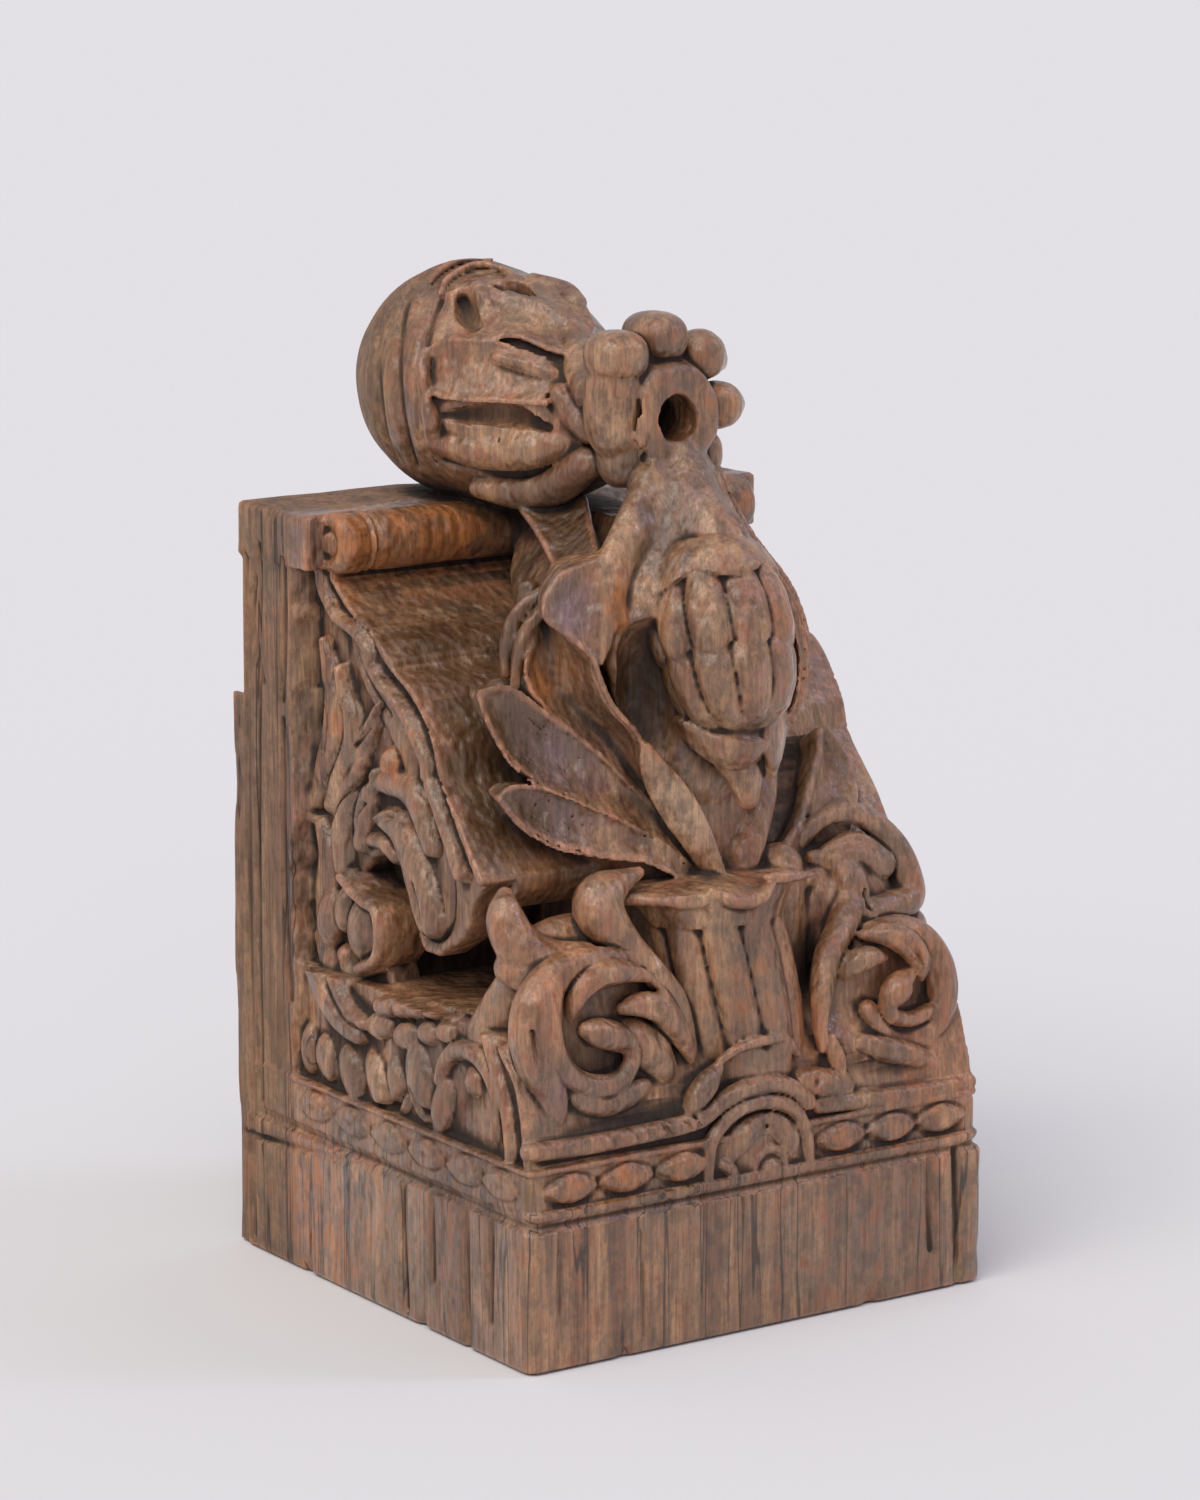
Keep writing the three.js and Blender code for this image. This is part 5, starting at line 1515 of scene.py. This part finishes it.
@dataclass
class Shell:
    """Turns the carved block into one mesh piece of the bracket.

    Attributes:
        name: Name of the piece.
        budget: Most triangles that the piece may have.
        depths: Attributes that note how much wood stands round a place, and within how many millimetres.
        sharp: Angle past which an edge is shown sharp, in degrees.
        inset: How far the mesh keeps inside the solid's box, in metres.
    """

    name: str = "carved_corbel"
    budget: int = 190_000
    depths: tuple[tuple[str, float], ...] = (("crevice", 2), ("hollow", 8))
    sharp: float = 50.0
    inset: float = 2e-5

    def surface(self, block: Block) -> bpy.types.Object:
        """Lays a skin of quads over the wood and keeps the one body that hangs together."""
        grid = openvdb.FloatGrid(background=3.0)
        grid.copyFromArray(np.clip(block.depth, -3, 3))
        points, _, quads = grid.convertToPolygons(isovalue=0.0, adaptivity=0.0)
        places = (points * block.step + np.array(block.low)) * MM
        mesh = bpy.data.meshes.new(self.name)
        mesh.vertices.add(len(places))
        mesh.vertices.foreach_set("co", places.astype(np.float32).ravel())
        mesh.loops.add(quads.size)
        mesh.loops.foreach_set("vertex_index", quads.astype(np.int32).ravel())
        mesh.polygons.add(len(quads))
        mesh.polygons.foreach_set("loop_start", np.arange(0, quads.size, 4, dtype=np.int32))
        mesh.update(calc_edges=True)
        piece = bpy.data.objects.new(self.name, mesh)
        bpy.context.collection.objects.link(piece)
        bpy.ops.object.select_all(action="DESELECT")
        bpy.context.view_layer.objects.active = piece
        piece.select_set(True)
        bpy.ops.object.mode_set(mode="EDIT")
        bpy.ops.mesh.select_all(action="SELECT")
        bpy.ops.mesh.separate(type="LOOSE")
        bpy.ops.object.mode_set(mode="OBJECT")
        parts = sorted(bpy.context.selected_objects, key=lambda part: len(part.data.vertices))
        piece = parts.pop()
        for part in parts:
            bpy.data.objects.remove(part)
        piece.name = self.name
        return piece

    def finish(self, piece: bpy.types.Object, block: Block, low: Vector, high: Vector) -> None:
        """Turns the skin outwards, thins it, keeps it in the solid's box and notes its hollows, its stained
        spots, painted shade and painted sheen.

        Args:
            piece: The piece to finish.
            block: The carved block.
            low: Lowest corner that the piece may reach, in metres.
            high: Highest corner that it may reach.
        """
        mesh = piece.data
        bpy.ops.object.select_all(action="DESELECT")
        piece.select_set(True)
        bpy.context.view_layer.objects.active = piece
        bpy.ops.object.mode_set(mode="EDIT")
        bpy.ops.mesh.select_all(action="SELECT")
        bpy.ops.mesh.normals_make_consistent(inside=False)
        bpy.ops.object.mode_set(mode="OBJECT")
        share = self.budget / (2 * len(mesh.polygons))
        if share < 1:
            thin = piece.modifiers.new("thin", "DECIMATE")
            thin.ratio = share
            bpy.ops.object.modifier_apply(modifier=thin.name)
        mesh = piece.data
        places = np.zeros(len(mesh.vertices) * 3, np.float32)
        mesh.vertices.foreach_get("co", places)
        places = np.clip(places.reshape(-1, 3), np.array(low) + self.inset, np.array(high) - self.inset)
        mesh.vertices.foreach_set("co", places.astype(np.float32).ravel())
        solid = (block.depth < 0).astype(np.float32)
        for name, reach in self.depths:
            filled = box_blur(solid, max(1, round(reach / block.step)))
            self.note(mesh, name, block.read(filled, places / MM))
        # Tone attributes: real stains, painted shade in some hollows and painted sheen on some leaves and
        # lobes.
        stain_shade_sheen = StainsShadeAndSheen()
        for tone in Tone:
            self.note(mesh, tone.value, stain_shade_sheen.share(tone, places / MM))
        bpy.ops.object.shade_smooth_by_angle(angle=math.radians(self.sharp))
        mesh.update()

    def note(self, mesh: bpy.types.Mesh, name: str, values: np.ndarray) -> None:
        """Keeps one value for each point of the mesh as an attribute."""
        mesh.attributes.new(name, "FLOAT", "POINT").data.foreach_set("value", values.astype(np.float32))


def linear(code: str) -> tuple[float, float, float, float]:
    """Turns an sRGB hex colour into the linear colour that the shaders take."""
    parts = [int(code.lstrip("#")[k:k + 2], 16) / 255 for k in (0, 2, 4)]
    red, green, blue = (p / 12.92 if p <= 0.04045 else ((p + 0.055) / 1.055) ** 2.4 for p in parts)
    return (red, green, blue, 1.0)


@dataclass
class Tree:
    """A material's node tree, filled one node at a time."""

    material: bpy.types.Material

    def __post_init__(self) -> None:
        """Clears the tree."""
        self.material.use_nodes = True
        self.material.node_tree.nodes.clear()

    def add(self, kind: str, inputs: dict | None = None, **settings: object) -> bpy.types.Node:
        """Adds a node, sets it up and links or fills its inputs.

        Args:
            kind: The node's type.
            inputs: Values or output sockets by input name or place.
            settings: The node's own settings.

        Returns:
            The node.
        """
        node = self.material.node_tree.nodes.new(kind)
        for name, value in settings.items():
            setattr(node, name, value)
        for key, value in (inputs or {}).items():
            if isinstance(value, bpy.types.NodeSocket):
                self.material.node_tree.links.new(value, node.inputs[key])
            else:
                node.inputs[key].default_value = value
        return node

    def blend(self, share: object, low: object, high: object, way: str = "MIX") -> bpy.types.NodeSocket:
        """Mixes two colours by a share and gives the result's socket."""
        node = self.add("ShaderNodeMix", {0: share, 6: low, 7: high}, data_type="RGBA", blend_type=way)
        return node.outputs[2]

    def span(self, value: object, low: float, high: float, start: float = 0.0,
             stop: float = 1.0) -> bpy.types.NodeSocket:
        """Maps a value from one range to another, with its ends held."""
        node = self.add("ShaderNodeMapRange", {0: value, 1: low, 2: high, 3: start, 4: stop},
                        interpolation_type="SMOOTHSTEP")
        return node.outputs[0]

    def maths(self, how: str, first: object, second: object = 0.0) -> bpy.types.NodeSocket:
        """Does one sum on one or two values."""
        return self.add("ShaderNodeMath", {0: first, 1: second}, operation=how).outputs[0]


class Tone(Enum):
    """Tints that age has left on parts of the wood, and painted shade and painted sheen; each is an attribute
    of the mesh.
    """

    # Olive-brown tint, and painted shade in hollows and under overhangs.
    UMBER_AND_SHADE = "umber_and_shade"
    AMBER = "amber"
    PALE = "pale"
    # Grey-mauve tint, and painted sheen on leaf faces, the bud, the neck and the crown.
    MAUVE_AND_SHEEN = "mauve_and_sheen"


@dataclass(frozen=True)
class StainsShadeAndSheen:
    """Where old wax, handling and fresh breaks have tinted the wood, and where shade and sheen are painted
    on.

    Attributes:
        spots: Each tone's rows of x, y, z and reach in millimetres, and strength.
    """

    spots: tuple[tuple[Tone, tuple[tuple[float, ...], ...]], ...] = (
        # Umber: olive-brown tint of the S fronts, and painted shade under the slab and roll, inside the hood
        # and under the horn.
        (Tone.UMBER_AND_SHADE, (
            (-62, -12, 238, 48, 1.0), (-60, -30, 208, 40, 1.0), (-66, -42, 182, 30, 1.0),
            (-70, 10, 252, 24, 1.0), (-30, -10, 270, 34, 1.0), (-14, -78, 96, 14, 0.6),
            (-30, 40, 285, 26, 0.8), (0, -34, 300, 22, 0.6), (34, -70, 120, 20, 0.8),
            (62, -12, 236, 46, 0.8), (60, -30, 206, 34, 0.6), (-26, -58, 226, 24, 1.0),
            (-55, -30, 150, 40, 0.8), (50, -40, 145, 36, 0.8), (36, -99, 47, 26, 0.6),
            (18, -99, 44, 20, 0.6), (0, -20, 290, 34, 0.7), (-50, -60, 216, 16, 0.6))),
        (Tone.AMBER, (
            (-80, 36, 272, 24, 0.8), (-50, 33, 272, 24, 0.8), (80, 40, 272, 24, 0.6), (-90, 2, 198, 10, 1.0),
            (-39, -66, 262, 9, 1.0), (-38, -66, 253, 5, 1.0), (-90, 40, 208, 10, 0.6),
            (-58, -44, 234, 13, 0.7), (-92, -12, 205, 16, 0.35), (-57, -97, 64, 13, 0.6),
            (-33, -97, 64, 12, 0.5), (-80, -97, 65, 10, 0.5), (36, -97, 62, 10, 0.6), (70, -98, 62, 24, 0.4),
            (20, -45, 322, 26, 0.35), (-20, -40, 325, 16, 0.3), (60, -20, 230, 26, 0.4),
            (-80, -84, 128, 12, 0.4), (-99, 44, 24, 34, 0.75), (-99, 8, 30, 26, 0.6),
            (40, -99, 18, 40, 0.25), (0, -31, 347, 12, 0.3), (-20, -40, 342, 12, 0.4),
            (0, -86, 100, 20, 0.3), (-2, -98, 128, 24, 0.3))),
        (Tone.PALE, (
            (-16, -77, 188, 20, 0.9), (-99, 14, 36, 15, 0.9), (-99, -12, 26, 12, 0.5),
            (10, -84, 200, 12, 0.5), (-30, -45, 318, 18, 0.4), (-99, -70, 20, 20, 0.3),
            (60, -60, 175, 26, 0.3), (-40, 60, 300, 20, 0.3))),
        # Mauve: grey-mauve tint on the back, and painted sheen on leaf faces, the bud front, the neck and the
        # crown.
        (Tone.MAUVE_AND_SHEEN, (
            (-52, -50, 202, 22, 0.6), (-54, -58, 182, 18, 0.5), (-54, -56, 258, 14, 0.8),
            (2, -98, 240, 12, 0.4), (-20, 40, 320, 26, 0.4), (-84, -96, 100, 16, 0.4),
            (-88, -30, 170, 20, 0.3), (0, -66, 298, 9, 0.8), (-98, 80, 180, 60, 0.3))),
    )

    def share(self, tone: Tone, places: np.ndarray) -> np.ndarray:
        """How strongly one tone tints places in millimetres, from 0 to 1."""
        total = np.zeros(len(places), np.float32)
        for x, y, z, reach, strength in dict(self.spots)[tone]:
            far = np.linalg.norm(places - np.array((x, y, z)), axis=1) / reach
            total = np.maximum(total, strength * np.clip(1.25 - far, 0, 1))
        return total


@dataclass(frozen=True)
class OldWood:
    """Old hardwood, carved by chisel, waxed and handled for generations, and weathered grey at the back.

    Attributes:
        body: Warm brown of the wood.
        dust: Dusty tan of worn wood.
        grey: Weathered grey brown.
        red: Polished high points.
        warm: Bands where the bare wood shows orange brown.
        dark: Bands steeped in old wax.
        wear: Pinkish tan of rubbed edges.
        tones: Colours of the stains; umber is partly painted shade and mauve partly painted sheen.
        shade_and_grime: Painted shade in the crevices and hollows, and dark blots of old dirt and wax.
        gloss: Roughness of the waxed surface, a soft satin.
        dull: Roughness of dusty, weathered wood.
    """

    body: str = "#855c40"
    dust: str = "#bd9068"
    grey: str = "#806650"
    red: str = "#8f5035"
    warm: str = "#b36f42"
    dark: str = "#5c4230"
    wear: str = "#c08462"
    tones: tuple[tuple[Tone, str, float], ...] = (
        # Umber is partly painted shade, mauve partly painted sheen.
        (Tone.UMBER_AND_SHADE, "#553a20", 0.92), (Tone.AMBER, "#b06c37", 0.9), (Tone.PALE, "#c09a78", 0.9),
        (Tone.MAUVE_AND_SHEEN, "#84686a", 0.7))
    # Near black brown: painted shade in crevices and hollows, and dark blots.
    shade_and_grime: str = "#1d1510"
    gloss: float = 0.3
    dull: float = 0.75

    def build(self) -> bpy.types.Material:
        """Makes the material."""
        tree = Tree(bpy.data.materials.new("old_wood"))
        place = tree.add("ShaderNodeTexCoord").outputs["Object"]

        def grain(scale: Point, detail: float, roughness: float = 0.6) -> bpy.types.NodeSocket:
            """Noise drawn out along the upright grain, by its cells per metre."""
            spread = tree.add("ShaderNodeMapping", {"Vector": place, "Scale": scale}).outputs[0]
            return tree.add("ShaderNodeTexNoise", {"Vector": spread, "Scale": 1.0, "Detail": detail,
                                                   "Roughness": roughness}).outputs[0]

        fibre = grain((620, 620, 34), 5.0, 0.65)
        pores = grain((1500, 1500, 85), 2.0)
        streak = grain((95, 95, 8), 4.0)
        lines = grain((62, 62, 1.9), 3.0)
        wide = grain((15, 15, 5), 3.0)
        patch = grain((24, 24, 13), 4.0, 0.65)
        spot = grain((130, 130, 90), 5.0, 0.7)
        chisel = grain((170, 170, 120), 1.0)
        crevice = tree.add("ShaderNodeAttribute", attribute_name="crevice").outputs["Fac"]
        hollow = tree.add("ShaderNodeAttribute", attribute_name="hollow").outputs["Fac"]
        parts = tree.add("ShaderNodeSeparateXYZ", {"Vector": place})

        colour = tree.blend(tree.span(streak, 0.36, 0.66), linear(self.body), linear(self.dust))
        colour = tree.blend(tree.span(patch, 0.45, 0.62, 0.0, 0.6), colour, linear(self.grey))
        colour = tree.blend(tree.span(spot, 0.50, 0.68, 0.0, 0.75), colour, linear(self.red))
        colour = tree.blend(tree.span(wide, 0.50, 0.66, 0.0, 0.4), colour, linear(self.warm))
        colour = tree.blend(tree.span(wide, 0.50, 0.36, 0.0, 0.45), colour, linear(self.dark))
        # Tone attributes tint the wood; umber also paints shade in hollows and mauve paints sheen.
        for tone, code, most in self.tones:
            share = tree.add("ShaderNodeAttribute", attribute_name=tone.value).outputs["Fac"]
            ragged = tree.maths("ADD", share, tree.span(spot, 0.3, 0.7, -0.22, 0.22))
            colour = tree.blend(tree.span(ragged, 0.1, 0.9, 0.0, most), colour, linear(code))
        back = tree.span(parts.outputs["Y"], 0.045, 0.075, 0.0, 0.6)
        colour = tree.blend(back, colour, linear(self.grey))
        edge = tree.span(crevice, 0.40, 0.26, 0.0, 0.65)
        edge = tree.maths("MULTIPLY", edge, tree.span(patch, 0.35, 0.6, 0.35, 1.0))
        colour = tree.blend(edge, colour, linear(self.wear))
        # Painted shade: crevices and hollows, where much wood stands round a point, go near black; random
        # dark blots join them.
        hollow_shade = tree.maths("MAXIMUM", tree.span(crevice, 0.52, 0.66, 0.0, 0.94),
                          tree.span(hollow, 0.53, 0.76, 0.0, 0.9))
        blot = tree.span(spot, 0.56, 0.40, 0.0, 0.35)
        colour = tree.blend(tree.maths("MAXIMUM", hollow_shade, blot), colour, linear(self.shade_and_grime))
        depth = tree.maths("MULTIPLY", tree.span(fibre, 0.34, 0.62, 0.74, 1.14),
                           tree.span(pores, 0.34, 0.46, 0.76, 1.0))
        crack = tree.span(tree.maths("ABSOLUTE", tree.maths("SUBTRACT", lines, 0.5)), 0.003, 0.013, 0.3, 1.0)
        bare = tree.maths("MAXIMUM", tree.span(parts.outputs["Z"], 0.066, 0.054),
                          tree.span(parts.outputs["Y"], 0.03, 0.06))
        bare = tree.maths("MINIMUM", bare, tree.span(parts.outputs["Z"], 0.283, 0.278))
        crack = tree.maths("MAXIMUM", crack, tree.maths("SUBTRACT", 1.0, bare))
        depth = tree.maths("MULTIPLY", depth, crack)
        shade = tree.add("ShaderNodeCombineColor", {0: depth, 1: depth, 2: depth}).outputs[0]
        colour = tree.blend(1.0, colour, shade, "MULTIPLY")

        worn = tree.maths("ADD", back, tree.span(spot, 0.4, 0.7, 0.0, 0.4))
        rough = tree.span(tree.maths("ADD", hollow_shade, worn), 0.0, 1.0, self.gloss, self.dull)
        high = tree.add("ShaderNodeBump", {"Height": depth, "Strength": 0.4, "Distance": 0.0006})
        high = tree.add("ShaderNodeBump",
                        {"Height": chisel, "Strength": 0.7, "Distance": 0.0034, "Normal": high.outputs[0]})
        wax = tree.maths("MULTIPLY", tree.span(rough, 0.38, 0.6, 0.75, 0.0),
                         tree.span(back, 0.0, 0.4, 1.0, 0.1))
        coat = tree.add("ShaderNodeBsdfPrincipled", {"Base Color": colour, "Roughness": rough, "IOR": 1.48,
                                                     "Normal": high.outputs[0], "Coat Weight": wax,
                                                     "Coat Roughness": 0.22, "Coat IOR": 1.45,
                                                     "Coat Normal": high.outputs[0]})
        tree.add("ShaderNodeOutputMaterial", {"Surface": coat.outputs[0]})
        return tree.material


@dataclass
class Studio:
    """A pale seamless floor that runs out of sight, under a soft sky with a broad light on the left
    and two narrow ones that the waxed wood shines in.

    Attributes:
        azimuth: Turn of the camera about the bracket, in degrees.
        elevation: Height of the camera over it, in degrees.
        eye: Place of the camera, in metres.
        lens: Focal length, in millimetres.
        reach: Length of the floor, so far that its end never shows.
        paper: Colour of the floor.
        sky: Colour of the even light all round, and sky_strength its strength.
        suns: Name, direction, spread in degrees, strength and colour of each light.
    """

    azimuth: float = -34.3394
    elevation: float = 11.3089
    eye: Point = (-1.00886, -1.47357, 0.55044)
    lens: float = 120.0
    reach: float = 400.0
    paper: str = "#e4e3e4"
    sky: str = "#f4f4fb"
    sky_strength: float = 0.56
    suns: tuple[tuple[str, Point, float, float, str], ...] = (
        ("key", (-0.58, -0.26, 0.8), 50.0, 1.7, "#fffaf2"),
        ("sheen", (-0.35, -0.85, 0.45), 14.0, 0.12, "#dfe2ff"),
        ("window", (0.72, -0.42, 0.66), 12.0, 0.4, "#cdd4ff"),
    )

    def floor(self) -> bpy.types.Object:
        """Lays the floor."""
        bpy.ops.mesh.primitive_plane_add(size=self.reach, location=(0, 0, -0.0002))
        floor = bpy.context.object
        floor.name = "floor"
        tree = Tree(bpy.data.materials.new("paper"))
        coat = tree.add("ShaderNodeBsdfDiffuse", {"Color": linear(self.paper)})
        tree.add("ShaderNodeOutputMaterial", {"Surface": coat.outputs[0]})
        floor.data.materials.append(tree.material)
        return floor

    def sun(self, name: str, way: Point, spread: float, strength: float, tint: str) -> None:
        """Adds an even light from far away.

        Args:
            name: Name of the light.
            way: Direction towards the light.
            spread: How wide it is in the sky, in degrees.
            strength: Its strength.
            tint: Its colour.
        """
        bpy.ops.object.light_add(type="SUN", location=(0, 0, 2))
        lamp = bpy.context.object
        lamp.name = name
        lamp.data.angle = math.radians(spread)
        lamp.data.energy = strength
        lamp.data.color = linear(tint)[:3]
        lamp.rotation_mode = "QUATERNION"
        lamp.rotation_quaternion = Vector(way).to_track_quat("Z", "Y")

    def world(self) -> None:
        """Fills the room with an even pale light."""
        world = bpy.data.worlds.new("room")
        world.use_nodes = True
        fill = world.node_tree.nodes["Background"]
        fill.inputs[0].default_value = linear(self.sky)
        fill.inputs[1].default_value = self.sky_strength
        bpy.context.scene.world = world

    def camera(self) -> None:
        """Sets the camera where the photo was taken from."""
        bpy.ops.object.camera_add(location=self.eye)
        eye = bpy.context.object
        eye.data.lens = self.lens
        eye.data.sensor_width = 36.0
        eye.data.clip_start = 0.05
        eye.data.clip_end = 1000.0
        a, e = math.radians(self.azimuth), math.radians(self.elevation)
        back = Vector((math.sin(a) * math.cos(e), -math.cos(a) * math.cos(e), math.sin(e)))
        eye.rotation_mode = "QUATERNION"
        eye.rotation_quaternion = (-back).to_track_quat("-Z", "Y")
        bpy.context.scene.camera = eye

    def build(self) -> bpy.types.Object:
        """Sets up the room and gives its floor."""
        bpy.context.scene.view_settings.view_transform = "Standard"
        self.world()
        for name, way, spread, strength, tint in self.suns:
            self.sun(name, way, spread, strength, tint)
        self.camera()
        return self.floor()


def main() -> None:
    """Builds the scene, piece by piece."""
    logging.basicConfig(level=logging.INFO, format="%(message)s")
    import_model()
    low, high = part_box(NODE)
    baulk = Baulk()
    side = baulk.half + MARGIN
    block = Block((-side, -side, -MARGIN), (side, side, high.z / MM + MARGIN), CELL)
    baulk.carve(block, SideFace(Hand.LEFT), SideFace(Hand.RIGHT, HIDDEN_SIDE), Band())
    LOG.info("baulk squared")
    for part in (Crown(), Stem(), Leaves(), Scrolls(), Vase(), Bud(), Rosette(), Medallion(), Weather()):
        part.carve(block)
        LOG.info("%s carved", type(part).__name__)
    shell = Shell()
    piece = shell.surface(block)
    shell.finish(piece, block, low, high)
    LOG.info("%s: %d faces", piece.name, len(piece.data.polygons))
    piece.data.materials.append(OldWood().build())
    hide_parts(NODE)
    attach(piece, "root")
    Studio().build()


if __name__ == "__main__":
    main()
